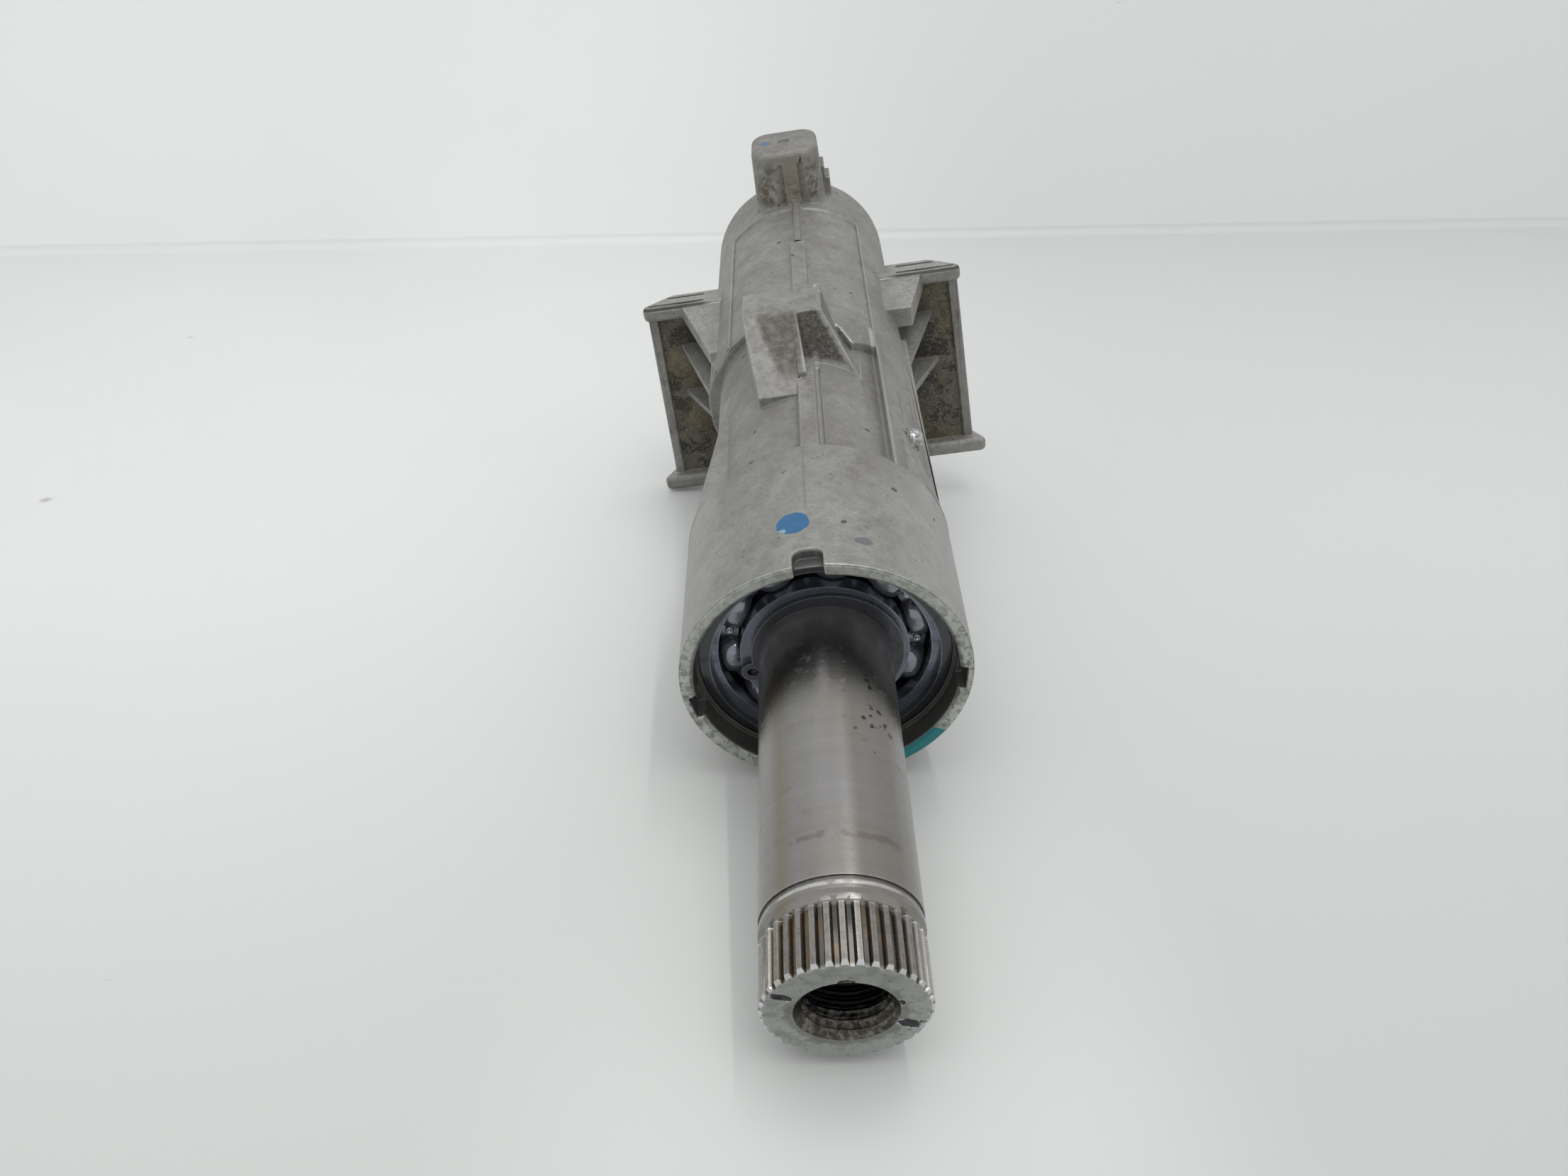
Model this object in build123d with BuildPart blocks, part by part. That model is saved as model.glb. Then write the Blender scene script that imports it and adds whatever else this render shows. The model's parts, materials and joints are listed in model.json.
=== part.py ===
# Upper steering-column jacket with its spindle, in millimetres.
# +Y runs along the column away from the steering wheel, +X is to the right seen from
# the wheel and +Z is up. The origin is on the column axis at the mouth of the barrel.
from build123d import *
from dataclasses import dataclass
from math import cos, pi, radians, sin, tan
import os

os.makedirs("parts", exist_ok=True)

# Clearances between pieces
seat_clearance = 0.02
race_clearance = 0.05
pocket_clearance = 0.15
cage_clearance = 0.4
rivet_clearance = 0.03
circlip_side_clearance = 0.04
washer_clearance = 0.15
shield_running_gap = 0.3
preload_travel = 0.5

# Upper ball bearing, open on both sides
upper_bore_radius = 12.5
upper_outer_radius = 23.5
upper_width = 12.0
upper_ball_radius = 3.5
upper_ball_count = 10
upper_inner_shoulder = 15.9
upper_outer_shoulder = 20.0
upper_first_ball_angle = 11.8
upper_bearing_front = 7.5

# Lower ball bearing, shielded on both sides
lower_bore_radius = 10.0
lower_outer_radius = 21.0
lower_width = 12.0
lower_ball_radius = 3.175
lower_ball_count = 9
lower_inner_shoulder = 13.4
lower_outer_shoulder = 17.6
lower_first_ball_angle = 0.0
lower_bearing_setback = 18.5

# Details that both bearings share
ring_chamfer = 0.8
race_conformity = 1.04
cage_thickness = 0.7
rivet_radius = 0.5
rivet_head_radius = 0.85
rivet_head_height = 0.45
shield_rebate_depth = 1.0
shield_rebate_width = 1.3
shield_thickness = 0.4
shield_dish = 0.3
shield_rim = 0.8

# Barrel and mouth of the casting, round the upper bearing
barrel_wall = 3.5
barrel_length = 38.0
barrel_edge_round = 1.0
rim_chamfer = 0.3
mouth_relief = 0.8
mouth_bore_depth = 5.0
mouth_chamfer = 0.6

# Stepped tube behind the barrel, up to the lower bearing
middle_wall = 3.2
rear_wall = 3.6
rear_step = 99.0
tube_end = 184.0
tube_edge_chamfer = 0.8
bearing_shoulder = 2.0
fairing_end = 80.0
fairing_top = 14.0

# Box-sided shoulders of the rear section and the raised cheek on the right
shoulder_proud = 0.3
shoulder_half_height = 16.0
shoulder_corner_radius = 14.0
cheek_edge = 17.5
cheek_rib_proud = 1.2
cheek_rib_thickness = 1.8
cheek_rib_height = 3.0
cheek_rib_front = 44.0
cheek_rib_rear = 117.0
cheek_nub_radius = 2.4
cheek_nub_place = 60.0
cheek_nub_height = 10.5

# Shallow field, ribs and ridge along the top
field_half_width = 17.3
field_depth = 0.5
field_rear = 162.0
rib_centre = 1.3
rib_width = 3.8
front_rib_proud = 2.1
pad_proud = 1.1
pad_rear = 137.0
ridge_proud = 1.0
ridge_top_width = 1.4
rib_groove_width = 1.0
rib_groove_depth = 0.6

# Ramp lug on top, measured forward from its rear face
lug_setback = 2.5
lug_proud = 9.8
lug_base = 15.0
lug_left_top = -11.6
lug_left_foot = -9.2
lug_right_top = 6.2
lug_right_foot = 13.0
lug_crest = 13.0
lug_left_length = 32.5
lug_left_foot_proud = 0.6
lug_right_length = 20.6
lug_right_level = 18.0
lug_flank_foot = 9.0
lug_rib_length = 28.5
lug_rib_width = 2.0
lug_rib_tip_width = 0.7
lug_rib_lean = 1.5
lug_rib_foot_shift = 0.5
lug_rib_proud = 0.9
lug_edge_round = 1.6

# Tongue of the rear section's skin that reaches forward beside the lug
tongue_inner = 9.2
tongue_inner_reach = 5.7
tongue_tip = 11.9
tongue_tip_reach = 12.0
tongue_outer_reach = 7.4

# Pillar boss at the rear end
boss_half_width = 9.8
boss_length = 19.0
boss_corner_radius = 5.5
boss_proud = 14.6
boss_taper = 2.0
boss_edge_round = 1.8
boss_scoop_radius = 7.2
boss_scoop_depth = 1.6
boss_scoop_drop = 3.7
boss_scoop_centre = 1.0
boss_rib_width = 4.2
boss_dimple_radius = 1.6
boss_dimple_depth = 0.8
buttress_length = 7.5
buttress_drop = 8.7
buttress_width = 1.9

# Cross ears
ear_top = 13.0
ear_bottom = -46.4
ear_flange_thickness = 4.4
ear_front = 136.0
ear_rear = 142.8
ear_web_thickness = 3.2
ear_web_half_width_top = 42.2
ear_web_half_width_bottom = 44.8
ear_top_flange_front_half_width = 46.2
ear_top_flange_rear_half_width = 36.5
ear_bottom_flange_front_half_width = 49.4
ear_bottom_flange_rear_half_width = 45.0
ear_flange_round = 1.5
ear_lip_width = 2.6
ear_lip_proud = 0.7
ear_groove_width = 0.9
ear_groove_depth = 0.6
ear_groove_inset = 1.6
ear_groove_spacing = 3.6
ear_groove_gap = 1.5
ear_groove_tip_inset = 5.0

# Gussets between the ears and the tube
gusset_thickness = 1.8
middle_gusset_height = -0.4
middle_gusset_reach = 34.8
middle_gusset_length = 36.0
low_gusset_height = -14.6
low_gusset_reach = 36.2
low_gusset_length = 24.0
top_gusset_thickness = 4.0
top_gusset_drop = 1.0
top_gusset_reach = 33.3
top_gusset_length = 31.0
right_block_thickness = 5.4
right_block_length = 21.0
right_block_front_reach = 28.2

# Notches in the rim
notch_width = 5.3
notch_length = 4.7
notch_mouth_length = 2.4
notch_floor_wall = 0.6
notch_corner_radius = 1.6
side_notch_angle = 98.0
side_notch_depth = 1.4

# Spindle in front of the upper bearing
spindle_front = -65.4
spline_radius = 12.3
spline_depth = 0.75
spline_teeth = 36
spline_length = 9.7
spline_crest_share = 0.36
spline_floor_share = 0.45
end_chamfer = 0.5
neck_radius = 11.6
neck_length = 1.6
neck_chamfer = 0.5
journal_radius = 12.4
ring_groove_place = -52.0
ring_groove_width = 1.2
ring_groove_depth = 0.25
thread_minor_radius = 6.2
thread_depth = 26.0
countersink_radius = 7.5
drill_point_angle = 118.0

# Spindle behind the upper bearing
collar_radius = 15.4
collar_length = 4.0
collar_slope = 3.0
shank_radius = 11.6
lower_collar_radius = 12.9
lower_collar_length = 5.0
tail_radius = 9.9
tail_end = 204.0
tail_chamfer = 1.0
tail_flat_half_width = 8.1
tail_flat_length = 17.0
tail_groove_radius = 7.4
tail_groove_length = 6.0
tail_groove_inset = 6.0

# Circlips
shaft_circlip_thickness = 1.2
shaft_circlip_groove_depth = 0.55
shaft_circlip_width = 3.0
shaft_circlip_thin_width = 1.7
shaft_circlip_lug_radius = 2.15
shaft_circlip_hole_radius = 1.1
upper_shaft_circlip_turn = -118.0
lower_shaft_circlip_turn = 60.0
bore_circlip_thickness = 1.75
bore_circlip_groove_depth = 1.2
bore_circlip_width = 3.9
bore_circlip_thin_width = 2.3
bore_circlip_lug_radius = 2.7
bore_circlip_hole_radius = 1.3
bore_circlip_turn = 180.0
circlip_gap_half_angle = 11.0
circlip_hole_half_angle = 20.0

# Preload pieces behind the lower bearing
spring_thickness = 0.6
spring_height = 1.5
spring_inner_radius = 15.6
washer_thickness = 0.8
washer_inner_radius = 15.2

# Places and radii worked out from the sizes above
barrel_radius = upper_outer_radius + barrel_wall
mouth_bore_radius = upper_outer_radius + mouth_relief
tube_bore_radius = lower_outer_radius - bearing_shoulder
middle_radius = tube_bore_radius + middle_wall
rear_radius = lower_outer_radius + rear_wall
shoulder_half_width = rear_radius + shoulder_proud
lower_bearing_front = tube_end - lower_bearing_setback
upper_bearing_rear = upper_bearing_front + upper_width
upper_clip_front = upper_bearing_front - bore_circlip_thickness
lower_bearing_rear = lower_bearing_front + lower_width
washer_front = lower_bearing_rear + spring_height
lower_clip_front = washer_front + washer_thickness
lower_clip_rear = lower_clip_front + bore_circlip_thickness
shaft_groove_width = shaft_circlip_thickness + circlip_side_clearance
lug_rear = rear_step - lug_setback
lug_top = middle_radius + lug_proud
boss_top = rear_radius + boss_proud
boss_front = tube_end - boss_length
ear_web_front = ear_rear - ear_web_thickness
rib_left = rib_centre - rib_width / 2
rib_right = rib_centre + rib_width / 2
inside_tube = (tube_bore_radius + middle_radius) / 2


def across(place):
    """Plane square to the column at a place along it, seen from the steering wheel."""
    return Plane.XZ.offset(-place)


def polar(radius, angle):
    """Point (x, z) at a radius and an angle in degrees from the top towards +X."""
    return radius * sin(radians(angle)), radius * cos(radians(angle))


def turned(outline, mode=Mode.ADD):
    """Turn a closed outline of (radius, place) points about the column axis."""
    with BuildSketch(Plane.XY) as profile:
        with BuildLine():
            Polyline(*outline, close=True)
        make_face()
    revolve(profile.sketch, axis=Axis.Y, mode=mode)


def turned_ring(inner, outer, front, rear, mode=Mode.ADD):
    """Turn a plain ring between two radii and two places, given in either order."""
    front, rear = sorted((front, rear))
    turned([(inner, front), (outer, front), (outer, rear), (inner, rear)], mode)


def side_profile(outline, left, right, mode=Mode.ADD):
    """Extrude a closed outline of (place, height) points from x = left to x = right."""
    with BuildSketch(Plane.YZ.offset(left)) as profile:
        with BuildLine():
            Polyline(*outline, close=True)
        make_face()
    extrude(profile.sketch, amount=right - left, mode=mode)


def side_block(front, rear, bottom, top, left, right, mode=Mode.ADD):
    """Plain block given by its places, heights and sides."""
    side_profile([(front, bottom), (rear, bottom), (rear, top), (front, top)], left, right, mode)


def plan_profile(outline, bottom, top, mode=Mode.ADD):
    """Extrude a closed outline of (x, place) points from z = bottom to z = top."""
    with BuildSketch(Plane.XY.offset(bottom)) as profile:
        with BuildLine():
            Polyline(*outline, close=True)
        make_face()
    extrude(profile.sketch, amount=top - bottom, mode=mode)


def save(piece, name):
    """Label a finished piece and write its STEP file."""
    piece.part.label = name
    export_step(piece.part, f"parts/{name}.step")


# Casting: conical fairing that blends the barrel into the narrower tube on the flanks
with BuildPart() as fairing:
    fairing_radius = barrel_radius - rim_chamfer / 2
    turned([(inside_tube, barrel_length - 2), (fairing_radius, barrel_length - 2),
            (fairing_radius, barrel_length), (middle_radius - 0.2, fairing_end),
            (inside_tube, fairing_end)])
    split(bisect_by=Plane.XY.offset(fairing_top), keep=Keep.BOTTOM)

# Casting: raised cheek that carries the rear section's right side forward to the barrel
with BuildPart() as cheek:
    with BuildSketch(across(barrel_length - 1)):
        Circle(rear_radius)
        RectangleRounded(2 * shoulder_half_width, 2 * shoulder_half_height, shoulder_corner_radius)
        with Locations((cheek_edge, 0)):
            Rectangle(2 * rear_radius, 3 * rear_radius, align=(Align.MIN, Align.CENTER),
                      mode=Mode.INTERSECT)
    extrude(amount=-(rear_step - barrel_length + 2))

# Casting: shallow layer that is taken off the top of the rear section
with BuildPart() as field:
    turned_ring(rear_radius - field_depth, rear_radius + 1, rear_step - 1, field_rear)
    side_block(rear_step - 1, field_rear, 0, 2 * rear_radius, -field_half_width, field_half_width,
               Mode.INTERSECT)

# Casting: right ramp of the lug, steeper than the left one, with a sloping right flank
with BuildPart() as right_ramp:
    foot = lug_rear - lug_right_length
    crest = lug_rear - lug_crest
    for level, front, front_half, rear_half in ((lug_right_level, foot, lug_right_foot, lug_flank_foot),
                                                (lug_top, crest, lug_right_top, lug_right_top)):
        with BuildSketch(Plane.XY.offset(level)):
            with BuildLine():
                Polyline((0, front), (front_half, front), (rear_half, lug_rear), (0, lug_rear),
                         close=True)
            make_face()
    loft(ruled=True)

# Casting: lug with two ramps that face the wheel
with BuildPart() as ramp_lug:
    foot = lug_rear - lug_left_length
    crest = lug_rear - lug_crest
    foot_height = middle_radius + lug_left_foot_proud
    side_profile([(foot, lug_base), (foot, foot_height), (crest, lug_top), (lug_rear, lug_top),
                  (lug_rear, lug_base)], lug_left_top, 0)
    plan_profile([(0, foot), (lug_left_foot, foot), (lug_left_top, crest), (lug_left_top, lug_rear),
                  (0, lug_rear)], lug_base, lug_top, Mode.INTERSECT)
    fillet(ramp_lug.edges().filter_by(Axis.X).group_by(Axis.Z)[-1], radius=lug_edge_round)
    add(right_ramp.part)

# Casting: thin rib between the ramps, which leans to the left and widens to its foot
with BuildPart() as lug_rib:
    rib_foot = lug_rear - lug_rib_length
    slope = (lug_top - foot_height) / (crest - foot)
    rib_foot_height = foot_height + slope * (rib_foot - foot) + lug_rib_proud
    tip = lug_rear - lug_crest / 2
    side_profile([(rib_foot - lug_rib_proud, lug_base), (rib_foot, rib_foot_height), (crest, lug_top),
                  (tip, lug_top), (tip, lug_base)], -lug_rib_width, 2 * lug_rib_width)
    plan_profile([(rib_centre - lug_rib_width / 2 - lug_rib_foot_shift, rib_foot - lug_rib_proud),
                  (rib_centre + lug_rib_width / 2 - lug_rib_foot_shift, rib_foot - lug_rib_proud),
                  (rib_centre - lug_rib_lean + lug_rib_tip_width / 2, tip),
                  (rib_centre - lug_rib_lean - lug_rib_tip_width / 2, tip)],
                 lug_base, lug_top, Mode.INTERSECT)

# Casting: tongue of the rear section's skin beside the lug, its front edge slanted in plan
with BuildPart() as tongue:
    turned_ring(inside_tube, rear_radius - field_depth, rear_step - tongue_tip_reach, rear_step + 1)
    plan_profile([(rib_right, rear_step + 1), (rib_right, rear_step - tongue_inner_reach),
                  (tongue_inner, rear_step - tongue_inner_reach), (tongue_tip, rear_step - tongue_tip_reach),
                  (cheek_edge, rear_step - tongue_outer_reach), (cheek_edge, rear_step + 1)],
                 0, 2 * rear_radius, Mode.INTERSECT)

# Casting: tapered pillar at the rear end, with a scooped front face and a rib in the scoop
with BuildPart() as boss:
    with BuildSketch(Plane.XY.offset(inside_tube)):
        with Locations((0, boss_front + boss_length / 2)):
            RectangleRounded(2 * boss_half_width, boss_length, boss_corner_radius)
    extrude(amount=boss_top - inside_tube, taper=boss_taper)
    fillet(boss.faces().sort_by(Axis.Z)[-1].edges(), radius=boss_edge_round)
    with BuildSketch(Plane.XY.offset(inside_tube)):
        with Locations((boss_scoop_centre, boss_front + boss_scoop_depth - boss_scoop_radius)):
            Circle(boss_scoop_radius)
        with Locations((boss_scoop_centre, boss_front + boss_scoop_depth)):
            Rectangle(boss_rib_width, 2 * boss_scoop_depth, mode=Mode.SUBTRACT)
    extrude(amount=boss_top - boss_scoop_drop - inside_tube, mode=Mode.SUBTRACT)
    with Locations((0, boss_front + boss_length / 2, boss_top)):
        Cylinder(boss_dimple_radius, 2 * boss_dimple_depth, mode=Mode.SUBTRACT)


def ear_flange(bottom, top, front_half_width, rear_half_width):
    """One cross flange of the ears, a trapezoid in plan with a rounded front bead."""
    with BuildPart() as flange:
        plan_profile([(-front_half_width, ear_front), (front_half_width, ear_front),
                      (rear_half_width, ear_rear), (-rear_half_width, ear_rear)], bottom, top)
        fillet(flange.edges().filter_by(Axis.Z).group_by(Axis.Y)[0], radius=ear_flange_round)
        fillet(flange.edges().filter_by(Axis.X).group_by(Axis.Y)[0], radius=ear_flange_round)
    return flange.part


top_flange = ear_flange(ear_top - ear_flange_thickness, ear_top,
                        ear_top_flange_front_half_width, ear_top_flange_rear_half_width)
bottom_flange = ear_flange(ear_bottom, ear_bottom + ear_flange_thickness,
                           ear_bottom_flange_front_half_width, ear_bottom_flange_rear_half_width)

# Casting: cross plate between the flanges, with a proud lip along each outer edge
with BuildPart() as ear_web:
    web_low = ear_bottom + ear_flange_thickness / 2
    web_high = ear_top - ear_flange_thickness / 2
    with BuildSketch(across(ear_web_front)):
        with BuildLine():
            Polyline((-ear_web_half_width_top, web_high), (ear_web_half_width_top, web_high),
                     (ear_web_half_width_bottom, web_low), (-ear_web_half_width_bottom, web_low),
                     close=True)
        make_face()
    extrude(amount=-ear_web_thickness)
    for side in (-1, 1):
        with BuildSketch(across(ear_web_front - ear_lip_proud)):
            with BuildLine():
                Polyline((side * ear_web_half_width_top, web_high),
                         (side * ear_web_half_width_bottom, web_low),
                         (side * (ear_web_half_width_bottom - ear_lip_width), web_low),
                         (side * (ear_web_half_width_top - ear_lip_width), web_high), close=True)
            make_face()
        extrude(amount=-(ear_lip_proud + ear_web_thickness / 2))


def gusset(side, reach, tip_reach, length, top, thickness):
    """Flat stiffener between the ear web and the tube; side is -1 on the left."""
    foot = ear_web_front + ear_web_thickness / 2
    plan_profile([(side * tube_bore_radius, foot), (side * reach, foot), (side * reach, ear_web_front),
                  (side * tip_reach, ear_web_front - length),
                  (side * tube_bore_radius, ear_web_front - length)], top - thickness, top)


# Casting: every stiffener of the ears
with BuildPart() as gussets:
    tip = rear_radius - 1
    for side in (-1, 1):
        gusset(side, middle_gusset_reach, tip, middle_gusset_length, middle_gusset_height,
               gusset_thickness)
        gusset(side, low_gusset_reach, tip, low_gusset_length, low_gusset_height, gusset_thickness)
    gusset(-1, top_gusset_reach, tip, top_gusset_length, ear_top - top_gusset_drop,
           top_gusset_thickness)
    gusset(1, top_gusset_reach, right_block_front_reach, right_block_length,
           ear_top - top_gusset_drop, right_block_thickness)

# Casting: outside form first, then the stepped bore, circlip grooves and rim notches
with BuildPart() as jacket_casting:
    turned([(0, 0), (barrel_radius - rim_chamfer, 0), (barrel_radius, rim_chamfer),
            (barrel_radius, barrel_length - barrel_edge_round),
            (barrel_radius - barrel_edge_round, barrel_length), (middle_radius, barrel_length),
            (middle_radius, rear_step), (rear_radius - tube_edge_chamfer, rear_step),
            (rear_radius, rear_step + tube_edge_chamfer), (rear_radius, tube_end - tube_edge_chamfer),
            (rear_radius - tube_edge_chamfer, tube_end), (0, tube_end)])
    add(field.part, mode=Mode.SUBTRACT)
    add(fairing.part)
    add(cheek.part)
    with BuildSketch(across(rear_step)):
        RectangleRounded(2 * shoulder_half_width, 2 * shoulder_half_height, shoulder_corner_radius)
    extrude(amount=-(ear_rear - rear_step))
    side_block(cheek_rib_front, cheek_rib_rear, cheek_rib_height - cheek_rib_thickness / 2,
               cheek_rib_height + cheek_rib_thickness / 2, inside_tube,
               shoulder_half_width + cheek_rib_proud)
    with Locations((shoulder_half_width - cheek_nub_radius, cheek_nub_place, cheek_nub_height)):
        Sphere(cheek_nub_radius)
    side_block(barrel_length - 1, lug_rear - lug_right_length, inside_tube,
               middle_radius + front_rib_proud, rib_left, rib_right)
    side_block(lug_rear - 1, pad_rear, inside_tube, rear_radius + pad_proud, rib_left, rib_right)
    with BuildSketch(across(pad_rear - 1)):
        with BuildLine():
            Polyline((rib_left, inside_tube), (rib_centre - ridge_top_width / 2, rear_radius + ridge_proud),
                     (rib_centre + ridge_top_width / 2, rear_radius + ridge_proud),
                     (rib_right, inside_tube), close=True)
        make_face()
    extrude(amount=-(boss_front + boss_scoop_depth - pad_rear + 1))
    add(ramp_lug.part)
    add(lug_rib.part)
    add(tongue.part)
    add(boss.part)
    side_block(tube_end - 1 - buttress_length, tube_end - 1, inside_tube, boss_top - buttress_drop,
               0, boss_half_width + buttress_width / 3)
    side_block(tube_end - 1 - buttress_length, tube_end - 1, inside_tube / 2,
               boss_top - 1.4 * buttress_drop, 0, boss_half_width + buttress_width)
    add(ear_web.part)
    add(top_flange)
    add(bottom_flange)
    add(gussets.part)
    for row in range(2):
        groove_front = ear_front + ear_groove_inset + row * ear_groove_spacing - ear_groove_width / 2
        groove_reach = ear_top_flange_front_half_width - (1 + row) * ear_groove_tip_inset
        for left, right in ((-groove_reach, -rear_radius - ear_groove_gap),
                            (rear_radius + ear_groove_gap, groove_reach)):
            side_block(groove_front, groove_front + ear_groove_width, ear_top - ear_groove_depth,
                       ear_top + 1, left, right, Mode.SUBTRACT)
    side_block(barrel_length + 0.5, lug_rear - lug_right_length, middle_radius - rib_groove_depth,
               middle_radius + front_rib_proud, rib_right, rib_right + rib_groove_width, Mode.SUBTRACT)
    seat = upper_outer_radius + seat_clearance
    upper_groove = upper_outer_radius + bore_circlip_groove_depth
    upper_groove_front = upper_clip_front - circlip_side_clearance
    lower_seat = lower_outer_radius + seat_clearance
    lower_groove = lower_outer_radius + bore_circlip_groove_depth
    lower_groove_rear = lower_clip_rear + circlip_side_clearance
    lower_shoulder = lower_bearing_front - preload_travel
    turned([(0, -1), (mouth_bore_radius + mouth_chamfer + 1, -1), (mouth_bore_radius, mouth_chamfer),
            (mouth_bore_radius, mouth_bore_depth), (seat, mouth_bore_depth),
            (seat, upper_groove_front), (upper_groove, upper_groove_front),
            (upper_groove, upper_bearing_front), (seat, upper_bearing_front),
            (seat, upper_bearing_rear), (tube_bore_radius, upper_bearing_rear),
            (tube_bore_radius, lower_shoulder), (lower_seat, lower_shoulder),
            (lower_seat, lower_clip_front), (lower_groove, lower_clip_front),
            (lower_groove, lower_groove_rear), (lower_seat, lower_groove_rear),
            (lower_seat, tube_end + 1), (0, tube_end + 1)], Mode.SUBTRACT)
    side_block(-1, notch_mouth_length, mouth_bore_radius - 1, barrel_radius + 1,
               -notch_width / 2, notch_width / 2, Mode.SUBTRACT)
    with BuildSketch(Plane.XY.offset(mouth_bore_radius + notch_floor_wall)) as notch_floor:
        with Locations((0, notch_length / 2)):
            Rectangle(notch_width, notch_length)
        fillet(notch_floor.vertices().group_by(Axis.Y)[-1], radius=notch_corner_radius)
    extrude(amount=barrel_radius - mouth_bore_radius, mode=Mode.SUBTRACT)
    for side in (-1, 1):
        x, z = polar(mouth_bore_radius, side * side_notch_angle)
        with Locations(Plane(origin=(x, notch_length / 2, z), x_dir=(x, 0, z), z_dir=(0, -1, 0))):
            Box(2 * side_notch_depth, notch_width, notch_length, mode=Mode.SUBTRACT)
save(jacket_casting, "jacket_casting")

# Spindle: turned in one outline from the wheel end to the joint end, then cut
with BuildPart() as steering_spindle:
    spline_rear = spindle_front + spline_length
    neck_rear = spline_rear + neck_length
    ring_front = ring_groove_place - ring_groove_width / 2
    ring_rear = ring_groove_place + ring_groove_width / 2
    upper_shaft_seat = upper_bore_radius - seat_clearance
    upper_shaft_groove = upper_bore_radius - shaft_circlip_groove_depth
    lower_shaft_seat = lower_bore_radius - seat_clearance
    lower_shaft_groove = lower_bore_radius - shaft_circlip_groove_depth
    thread_rear = spindle_front + thread_depth
    drill_tip = thread_rear + thread_minor_radius / tan(radians(drill_point_angle / 2))
    turned([(countersink_radius, spindle_front), (spline_radius - end_chamfer, spindle_front),
            (spline_radius, spindle_front + end_chamfer), (spline_radius, spline_rear),
            (neck_radius, spline_rear), (neck_radius, neck_rear),
            (journal_radius, neck_rear + neck_chamfer), (journal_radius, ring_front),
            (journal_radius - ring_groove_depth, ring_front),
            (journal_radius - ring_groove_depth, ring_rear), (journal_radius, ring_rear),
            (journal_radius, upper_bearing_front - shaft_groove_width),
            (upper_shaft_groove, upper_bearing_front - shaft_groove_width),
            (upper_shaft_groove, upper_bearing_front), (upper_shaft_seat, upper_bearing_front),
            (upper_shaft_seat, upper_bearing_rear), (collar_radius, upper_bearing_rear),
            (collar_radius, upper_bearing_rear + collar_length),
            (shank_radius, upper_bearing_rear + collar_length + collar_slope),
            (shank_radius, lower_bearing_front - lower_collar_length - collar_slope / 4),
            (lower_collar_radius, lower_bearing_front - lower_collar_length),
            (lower_collar_radius, lower_bearing_front), (lower_shaft_seat, lower_bearing_front),
            (lower_shaft_seat, lower_bearing_rear), (lower_shaft_groove, lower_bearing_rear),
            (lower_shaft_groove, lower_bearing_rear + shaft_groove_width),
            (tail_radius, lower_bearing_rear + shaft_groove_width),
            (tail_radius, tail_end - tail_chamfer), (tail_radius - tail_chamfer, tail_end),
            (0, tail_end), (0, drill_tip), (thread_minor_radius, thread_rear),
            (thread_minor_radius, spindle_front + countersink_radius - thread_minor_radius)])
    tooth_pitch = 2 * pi * spline_radius / spline_teeth
    groove_mouth = tooth_pitch * (1 - spline_crest_share)
    groove_floor = groove_mouth * spline_floor_share
    with BuildSketch(across(spindle_front)):
        with PolarLocations(spline_radius - spline_depth, spline_teeth):
            Polygon((0, -groove_floor / 2), (spline_depth, -groove_mouth / 2),
                    (2 * spline_depth, -groove_mouth / 2), (2 * spline_depth, groove_mouth / 2),
                    (spline_depth, groove_mouth / 2), (0, groove_floor / 2))
    extrude(amount=-(spline_length + neck_length / 2), mode=Mode.SUBTRACT)
    for side in (-1, 1):
        side_block(tail_end - tail_flat_length, tail_end, -tail_radius, tail_radius,
                   side * tail_flat_half_width, side * (tail_radius + 1), Mode.SUBTRACT)
    turned_ring(tail_groove_radius, tail_radius + 1, tail_end - tail_groove_inset - tail_groove_length,
                tail_end - tail_groove_inset, Mode.SUBTRACT)
save(steering_spindle, "steering_spindle")


@dataclass
class Bearing:
    """Sizes of one ball bearing, and the radii and places that follow from them."""
    name: str
    bore_radius: float
    outer_radius: float
    width: float
    ball_radius: float
    ball_count: int
    inner_shoulder: float
    outer_shoulder: float
    first_ball_angle: float
    front: float
    shielded: bool

    def __post_init__(self):
        self.pitch_radius = (self.bore_radius + self.outer_radius) / 2
        self.ball_plane = self.front + self.width / 2
        self.race_radius = race_conformity * self.ball_radius
        self.cage_inner = self.inner_shoulder + cage_clearance
        self.cage_outer = self.outer_shoulder - cage_clearance

    def around(self, steps):
        """Points (x, z) on the pitch circle, that many ball spacings past each ball."""
        spacing = 360 / self.ball_count
        return [polar(self.pitch_radius, self.first_ball_angle + (ball + steps) * spacing)
                for ball in range(self.ball_count)]


upper_bearing = Bearing("upper", upper_bore_radius, upper_outer_radius, upper_width,
                        upper_ball_radius, upper_ball_count, upper_inner_shoulder,
                        upper_outer_shoulder, upper_first_ball_angle, upper_bearing_front, False)
lower_bearing = Bearing("lower", lower_bore_radius, lower_outer_radius, lower_width,
                        lower_ball_radius, lower_ball_count, lower_inner_shoulder,
                        lower_outer_shoulder, lower_first_ball_angle, lower_bearing_front, True)


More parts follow.
